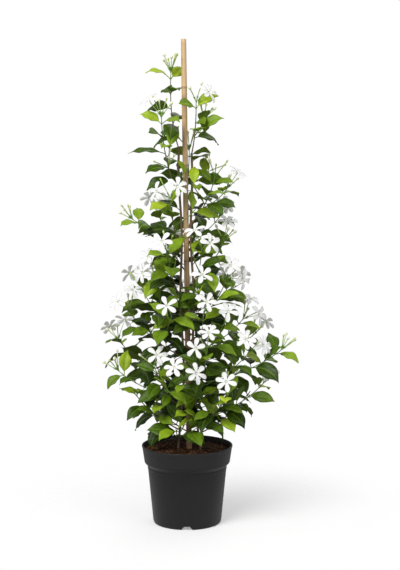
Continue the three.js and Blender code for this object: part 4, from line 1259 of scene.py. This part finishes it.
def cane_material():
    """Dried bamboo: tan with long darker streaks, dark at nodes and cuts; browner low down, partly its own
    colour and partly painted shade; painted shade in the hollow top.
    """
    m = Shader("bamboo", coat_weight=0.06, coat_roughness=0.4)
    along, knot, cut = m.parts_of("blade")
    long = m.streaks((420, 420, 9), detail=4, rough=0.6)
    fine = m.streaks((2600, 2600, 60), detail=3, rough=0.6)
    # Browner low down: partly the cane's own colour and partly painted shade under the leaves.
    low = m.between(along + (long - 0.5) * 0.5, 0.62, 0.38)
    tan = m.mix(m.between(long, 0.35, 0.7), (0.54, 0.35, 0.17), (0.64, 0.44, 0.225))
    low_brown_and_painted_shade = m.mix(m.between(long, 0.35, 0.7), (0.24, 0.13, 0.06), (0.38, 0.22, 0.11))
    body = m.mix(low, tan, low_brown_and_painted_shade)
    body = m.mix(m.between(fine, 0.5, 0.8, 0.0, 0.3), body, (0.24, 0.13, 0.07))
    freckle = m.between(m.noise(900, detail=2), 0.68, 0.76, 0.0, 0.45)
    body = m.mix(freckle, body, (0.13, 0.07, 0.04))
    # knot holds each node's darkness and also the painted shade inside the hollow top.
    body = m.mix(knot * 0.75, body, (0.17, 0.1, 0.055))
    m.colour(m.mix(cut * 0.7, body, (0.45, 0.36, 0.25)))
    m.rough(long * 0.25 + 0.36)
    m.bump(fine + long * 0.5, distance=0.0004, strength=0.6)
    return m.material


def wire_material():
    """Plant wire in an olive plastic coat, rubbed paler here and there."""
    m = Shader("tie_wire")
    wear = m.noise(420, detail=4, rough=0.6)
    m.colour(m.mix(m.between(wear, 0.4, 0.7), (0.24, 0.27, 0.05), (0.42, 0.42, 0.12)))
    m.rough(wear * 0.25 + 0.35)
    m.bump(m.noise(2400, detail=2), distance=0.0002, strength=0.5)
    return m.material


def floor_material():
    """White, and clear past its middle, so that it has no edge against the white backdrop."""
    m = Shader("pale_floor", roughness=0.85, specular_ior_level=0.2)
    cloud = m.noise(3, detail=2)
    m.colour(m.mix(cloud, (0.93, 0.93, 0.93), (0.96, 0.96, 0.96)))
    out = m.take(m.node("ShaderNodeVectorMath", m.place, operation="LENGTH"), "Value")
    m.feed(m.surface.inputs["Alpha"], m.between(out, 0.07, 0.5, 0.65, 0.0))
    return m.material


# Turned pieces
POT_TURNS = 144
CORNER_STEPS = 4


def rounded(profile):
    """The outline of a list of (radius, height, rounding) points, with its corners rounded."""
    points = [np.array(p[:2], float) for p in profile]
    found = []
    for i, (_, _, rounding) in enumerate(profile):
        if not rounding:
            found.append(points[i])
            continue
        before, after = points[i - 1] - points[i], points[i + 1] - points[i]
        before *= rounding / np.linalg.norm(before)
        after *= rounding / np.linalg.norm(after)
        for t in np.linspace(0, 1, CORNER_STEPS + 1):
            found.append(points[i] + before * (1 - t) ** 2 + after * t * t)
    return np.array(found)


def turned_rings(profile, turns):
    circle = circle_of(turns, vec(1, 0, 0), vec(0, 1, 0))
    return np.array([circle * radius + vec(0, 0, height) for radius, height in profile])


def cut_away(piece, cutters):
    """Cuts plain closed shapes out of a piece and removes them."""
    for cutter in cutters:
        change = piece.modifiers.new("cut", "BOOLEAN")
        change.operation = "DIFFERENCE"
        change.object = cutter
        change.solver = "EXACT"
    bpy.context.view_layer.update()
    whole = bpy.data.meshes.new_from_object(piece.evaluated_get(bpy.context.evaluated_depsgraph_get()))
    piece.modifiers.clear()
    piece.data = whole
    for cutter in cutters:
        bpy.data.objects.remove(cutter)


def prism(outline, low, high, place):
    """A closed prism: place turns each (x, y) of its outline, at the low and the high end, into a point."""
    count = len(outline)
    points = [place(x, y, end) for end in (low, high) for x, y in outline]
    faces = [tuple(reversed(range(count))), tuple(range(count, 2 * count))]
    faces += [(i, (i + 1) % count, count + (i + 1) % count, count + i) for i in range(count)]
    mesh = bpy.data.meshes.new("cutter")
    mesh.from_pydata([tuple(np.array(p) * MM + POT_AXIS) for p in points], [], faces)
    return linked("cutter", mesh)


def pot_cutters():
    low, high, height = NOTCH["low"], NOTCH["high"], NOTCH["height"]
    right = [(low, -1), (low, 0), (high + 1, height - 0.8), (high, height)]
    arch = right + [(-x, y) for x, y in reversed(right)]
    far = BASE_RADIUS + NOTCH_PROUD
    cutters = []
    for i in range(NOTCHES):
        a = i * 2 * math.pi / NOTCHES - math.pi / 2
        out, across = level_way(a), level_way(a + math.pi / 2)

        def notch(x, y, end):
            return out * end + across * x + vec(0, 0, y)

        cutters.append(prism(arch, far - NOTCH["depth"], far, notch))
    circle = circle_of(DRAIN_SIDES, vec(1, 0), vec(0, 1))
    for i in range(DRAINS["count"]):
        middle = level_way((i + 0.5) * 2 * math.pi / DRAINS["count"]) * DRAINS["ring"]

        def drain(x, y, end):
            return middle + vec(x, y, 0) * DRAINS["radius"] + vec(0, 0, end)

        cutters.append(prism(circle, FLOOR_UNDERSIDE - WALL, FLOOR_TOP + WALL, drain))
    return cutters


def make_pot():
    foot_inner = BASE_RADIUS - BASE_CORNER - FOOT_WIDTH
    profile = rounded([
        (0.5, FLOOR_UNDERSIDE, 0),
        (foot_inner - FOOT_SLOPE, FLOOR_UNDERSIDE, 1),
        (foot_inner, 0, 0.8),
        (BASE_RADIUS - BASE_CORNER * 0.6, 0, 1.2),
        (BASE_RADIUS, BASE_CORNER, 1.6),
        (BODY_TOP_RADIUS - COLLAR_IN, BODY_TOP - COLLAR_HEIGHT - COLLAR_SLOPE, 0.5),
        (BODY_TOP_RADIUS + COLLAR_LOW_OUT, BODY_TOP - COLLAR_HEIGHT, 0.4),
        (BODY_TOP_RADIUS + COLLAR_TOP_OUT, BODY_TOP, 1.5),
        (BAND_LOW_RADIUS, BAND_LOW, 1.5),
        (RIM_RADIUS - LIP, POT_HEIGHT - LIP_HEIGHT - LIP, 0.5),
        (RIM_RADIUS, POT_HEIGHT - LIP_HEIGHT, 0.5),
        (RIM_RADIUS, POT_HEIGHT, 0.9),
        (RIM_RADIUS - WALL - LIP, POT_HEIGHT, 0.9),
        (BAND_LOW_RADIUS - WALL, BAND_LOW + STEP_RISE, 1),
        (BODY_TOP_RADIUS - WALL, BODY_TOP + STEP_RISE, 1),
        (FLOOR_RADIUS, FLOOR_TOP, 1.5),
        (0.5, FLOOR_TOP, 0),
    ])
    surface = Surface()
    ends = [vec(0, 0, FLOOR_UNDERSIDE), vec(0, 0, FLOOR_TOP)]
    surface.add_rings(turned_rings(profile, POT_TURNS), ends, 0, np.linspace(0, 1, len(profile)), (0, 0, 0))
    pot = surface.make("moulded_pot", [pot_material()], "pot")
    cut_away(pot, pot_cutters())
    pot.data.shade_smooth()
    pot.data.set_sharp_from_angle(angle=math.radians(40))


# Soil: a crowned lumpy top, with crumbs, bark flakes and fibres half sunk in it
SOIL_TURNS = 120
SOIL_RINGS = 26
SOIL_LUMPS = ((16, 1.6), (6, 1.3), (2.4, 0.7))
CRUMBS = 620
CRUMB_EDGE = 3
CRUMB_RADIUS = (0.7, 3)
CRUMB_ROWS = 4
CRUMB_SIDES = 7
FIBRES = 260
FIBRE_EDGE = 8
FIBRE_LENGTH = (4, 15)
FIBRE_STEPS = 6


def soil_edge():
    slope = (RIM_RADIUS - LIP - BAND_LOW_RADIUS) / (POT_HEIGHT - BAND_LOW - STEP_RISE)
    return BAND_LOW_RADIUS - WALL - GAP + slope * (SOIL_LEVEL - BAND_LOW - STEP_RISE)


def soil_height(x, y):
    share = math.hypot(x, y) / soil_edge()
    crown = SOIL_LEVEL + SOIL_CROWN * (1 - smooth(0.2, 1, share)) - 1
    place = Vector((x, y, 7.0))
    return float(crown + sum(noise.noise(place / size) * high for size, high in SOIL_LUMPS))


def add_crumb(surface, i):
    """A lump of bark or peat: a rough low shape, flattened some way."""
    own = functools.partial(chance, 60, i)
    x, y, _ = level_way(2 * math.pi * own(1)) * math.sqrt(own(2)) * (soil_edge() - CRUMB_EDGE)
    radius = mix(*CRUMB_RADIUS, own(3) ** 3)
    middle = vec(x, y, soil_height(x, y) + radius * 0.2)
    axis = unit(vec(own(4) - 0.5, own(5) - 0.5, 0.25 + own(6)))
    level, steep = squares(axis)
    flat, broad = 0.4 + 0.5 * own(7), 0.7 + 0.9 * own(8)
    rings = []
    for row in range(CRUMB_ROWS):
        tall = math.pi * (row + 0.7) / (CRUMB_ROWS + 0.4)
        ring = []
        for k in range(CRUMB_SIDES):
            b = 2 * math.pi * (k + 0.3 * own(row, k)) / CRUMB_SIDES
            r = radius * math.sin(tall) * (0.75 + 0.5 * chance(61, i, row, k))
            ring.append(middle + level * math.cos(b) * r * broad + steep * math.sin(b) * r)
        rings.append(np.array(ring) - axis * math.cos(tall) * radius * flat)
    ends = [rings[0].mean(0) - axis * radius * 0.1, rings[-1].mean(0) + axis * radius * 0.1]
    surface.add_rings(np.array(rings), ends, 1, np.linspace(0, 1, CRUMB_ROWS), (0, 0.6 * own(9), 0))


def add_fibre(surface, i):
    own = functools.partial(chance, 62, i)
    x, y, _ = level_way(2 * math.pi * own(1)) * math.sqrt(own(2)) * (soil_edge() - FIBRE_EDGE)
    heading, length = 2 * math.pi * own(3), mix(*FIBRE_LENGTH, own(4))
    bend = 1.6 * (own(5) - 0.5)
    path = []
    for k in range(FIBRE_STEPS):
        share = k / (FIBRE_STEPS - 1)
        path.append(vec(x, y, soil_height(x, y) + 0.3 + 0.9 * math.sin(math.pi * share) * own(6)))
        x += math.cos(heading + bend * share) * length / FIBRE_STEPS
        y += math.sin(heading + bend * share) * length / FIBRE_STEPS
    surface.add_tube(path, 0.16 + 0.16 * own(7), 4, 1, (0, 0.35 + 0.65 * own(8), 0))


def make_soil():
    edge = soil_edge()
    low = [
        (FLOOR_RADIUS - GAP, FLOOR_TOP + GAP),
        (BODY_TOP_RADIUS - WALL - GAP, BODY_TOP + STEP_RISE + GAP),
        (BAND_LOW_RADIUS - WALL - GAP, BAND_LOW + STEP_RISE + GAP),
        (edge, SOIL_LEVEL - SOIL_CROWN),
    ]
    profile = low + [(edge * (1 - share), 0) for share in np.linspace(0, 0.98, SOIL_RINGS)]
    rings = turned_rings(profile, SOIL_TURNS)
    for ring in rings[len(low):]:
        ring[:, 2] = [soil_height(x, y) for x, y, _ in ring]
    surface = Surface()
    ends = [vec(0, 0, FLOOR_TOP + GAP), vec(0, 0, soil_height(0, 0))]
    surface.add_rings(rings, ends, 0, np.linspace(0, 1, len(profile)), (0, 0, 0))
    for i in range(CRUMBS):
        add_crumb(surface, i)
    for i in range(FIBRES):
        add_fibre(surface, i)
    surface.make("potting_mix", [soil_material(), fibre_material()], "potting_soil")


# Cane: a turned stick with a ridged ring and a groove at each node, and a hollow cut top
# Each row of a knot: its height from the middle, how far it is raised, and how dark it is
KNOT_SHAPE = (
    (-3.2, 0, 0.0), (-1.6, 0.25, 0.2), (-0.7, 0.7, 0.5), (-0.1, 0.1, 1.0),
    (0.3, 0.05, 1.0), (0.9, 0.62, 0.5), (2, 0.35, 0.2), (3.4, 0, 0.0),
)
KNOT_REACH = 6
CANE_ROW = 9
CANE_TURNS = 32
PITH_RADIUS = 1.7
PITH_DEPTH = 7


def make_cane():
    foot, top = cane_at(CANE_FOOT_Z), cane_at(CANE_TOP_Z)
    axis, length = unit(top - foot), float(np.linalg.norm(top - foot))
    rows = []
    for h in np.arange(4, length - 4, CANE_ROW):
        if min(abs(h + foot[2] - z) for z in CANE_KNOTS) > KNOT_REACH:
            rows.append((h, 0, 0.0))
    for z in CANE_KNOTS:
        rows += [(z - foot[2] + h, rise, dark) for h, rise, dark in KNOT_SHAPE]
    rows.sort()
    angles = np.arange(CANE_TURNS) * 2 * math.pi / CANE_TURNS
    circle = circle_of(CANE_TURNS, *squares(axis))

    def ring(h, spare):
        radius = mix(CANE_LOW_RADIUS, CANE_TOP_RADIUS, h / length) + spare
        place = Vector((0, 0, h / 60))
        oval = 1 + 0.02 * np.cos(2 * angles + h / 140) + 0.012 * noise.noise(place)
        return foot + axis * h + circle * (radius * oval)[:, None]

    rings = [ring(0, -0.6), ring(0.5, 0)] + [ring(h, rise) for h, rise, _ in rows]
    rings += [ring(length - 0.5, 0), ring(length, -0.5)]
    rings += [foot + axis * h + circle * PITH_RADIUS for h in (length, length - PITH_DEPTH)]
    # The two rings inside the hollow top carry painted shade in the knot darkness, darker towards its
    # bottom.
    dark = [0, 0] + [d for _, _, d in rows] + [0, 0, 0.6, 1]
    cut = [1, 0] + [0] * len(rows) + [0, 1, 1, 1]
    heights = [0, 0.5] + [h for h, _, _ in rows] + [length] * 4
    surface = Surface()
    ends = [foot, foot + axis * (length - PITH_DEPTH)]
    surface.add_rings(np.array(rings), ends, 0, np.array(heights) / length, (0, 0, 0))
    values = surface.blade[0]
    values[:-2, 1] = np.repeat(dark, CANE_TURNS)
    values[:-2, 2] = np.repeat(cut, CANE_TURNS)
    surface.make("cane", [cane_material()], "bamboo_cane")


# Ties: a wire wound two and a bit turns round the cane and its stems, with twisted ends
WIRE_RADIUS = 0.62
WIRE_TURNS = 2.15
WIRE_STEPS = 90
TWIST_STEPS = 36
TWIST_LENGTH = 7.5
TWIST_OPENS = 0.75


def make_tie(name, z, heading):
    middle = cane_at(z)
    surface = Surface()
    start = math.radians(heading)
    turn = np.linspace(0, WIRE_TURNS * 2 * math.pi, WIRE_STEPS)
    rise = -0.75 + 1.5 * turn / turn[-1] + 0.5 * np.sin(turn + 1) + 0.25 * np.sin(3 * turn + heading)
    reach = TIE_REACH + 0.75 + 0.15 * np.sin(2 * turn)
    path = middle + np.stack([np.cos(start + turn) * reach, np.sin(start + turn) * reach, rise], axis=1)
    surface.add_tube(path, WIRE_RADIUS, 8, 0, (0, 0, 0))
    knot = start + WIRE_TURNS * math.pi
    out, across = level_way(knot), level_way(knot + math.pi / 2)
    for side in (0, math.pi):
        t = np.linspace(0, 1, TWIST_STEPS)
        spin = 5 * math.pi * t + side
        loose = np.where(t > TWIST_OPENS, (t - TWIST_OPENS) * 9, 0) + 0.66
        twist = middle + out * (TIE_REACH + 0.4) + np.outer(t * TWIST_LENGTH, out)
        twist = twist + np.outer(np.cos(spin) * loose, across)
        twist = twist + np.outer(np.sin(spin) * loose - 2.5 * t, vec(0, 0, 1))
        surface.add_tube(twist, WIRE_RADIUS, 7, 0, (0, 0, 0))
    surface.make("wound_" + name, [WIRE_MATERIAL], name)


# The whole plant
LEAF_MATERIAL, BARK_MATERIAL = leaf_material(), twig_material()
STALK_MATERIAL, PETAL_MATERIAL, WIRE_MATERIAL = stalk_material(), petal_material(), wire_material()
PLANT_LOOKS = [LEAF_MATERIAL, BARK_MATERIAL, STALK_MATERIAL, PETAL_MATERIAL]

make_pot()
make_soil()
make_cane()
make_tie("lower_tie", LOWER_TIE, 250)
make_tie("upper_tie", UPPER_TIE, 200)
all_stems, all_branches = grow_plant()
for s, stem in enumerate(all_stems):
    grow_stem(stem, s, PLANT_LOOKS)
for b, branch in enumerate(all_branches):
    grow_branch(branch, b, PLANT_LOOKS)
    for c, cluster in enumerate(branch["clusters"]):
        if cluster["flowers"]:
            grow_cluster(cluster, branch["name"] + "_" + "abc"[c], PLANT_LOOKS)

# Floor, light and camera
AMBIENT = 0.37
BACKDROP = 1.0
FLOOR_HALF = 6
LIGHT_TARGET = (0, 0, 0.4)
corners = [(x * FLOOR_HALF, y * FLOOR_HALF, 0) for x, y in ((-1, -1), (1, -1), (1, 1), (-1, 1))]
floor_mesh = bpy.data.meshes.new("floor")
floor_mesh.from_pydata(corners, [], [(0, 1, 2, 3)])
floor_mesh.materials.append(floor_material())
floor = linked("floor", floor_mesh)

# A white studio: the backdrop is pure white, and lights the plant less than it shows.
world = bpy.data.worlds.new("studio")
world.use_nodes = True
backdrop = world.node_tree.nodes["Background"]
backdrop.inputs["Color"].default_value = (1.0, 1.0, 1.0, 1.0)
seen = world.node_tree.nodes.new("ShaderNodeLightPath")
strength = world.node_tree.nodes.new("ShaderNodeMapRange")
strength.inputs["To Min"].default_value = AMBIENT
strength.inputs["To Max"].default_value = BACKDROP
world.node_tree.links.new(seen.outputs["Is Camera Ray"], strength.inputs["Value"])
world.node_tree.links.new(strength.outputs["Result"], backdrop.inputs["Strength"])
bpy.context.scene.world = world
bpy.context.scene.view_settings.view_transform = "Standard"


def soft_light(name, place, power, breadth):
    light = bpy.data.lights.new(name, "AREA")
    light.energy = power
    light.shape = "DISK"
    light.size = breadth
    made = linked(name, light)
    made.location = Vector(place)
    made.rotation_euler = (Vector(LIGHT_TARGET) - Vector(place)).to_track_quat("-Z", "Y").to_euler()


soft_light("key", (-1.3, -2.1, 2.4), power=100, breadth=2.0)
soft_light("fill", (2.1, -1.8, 1.2), power=20, breadth=2.0)
soft_light("back", (0.8, 2.2, 2.2), power=18, breadth=2.4)

camera_data = bpy.data.cameras.new("camera")
camera_data.lens = CAMERA_LENS
camera = linked("camera", camera_data)
camera.location = POT_AXIS + np.array(CAMERA_PLACE)
camera.rotation_euler = (math.pi / 2 - CAMERA_DOWN, 0, 0)
bpy.context.scene.camera = camera
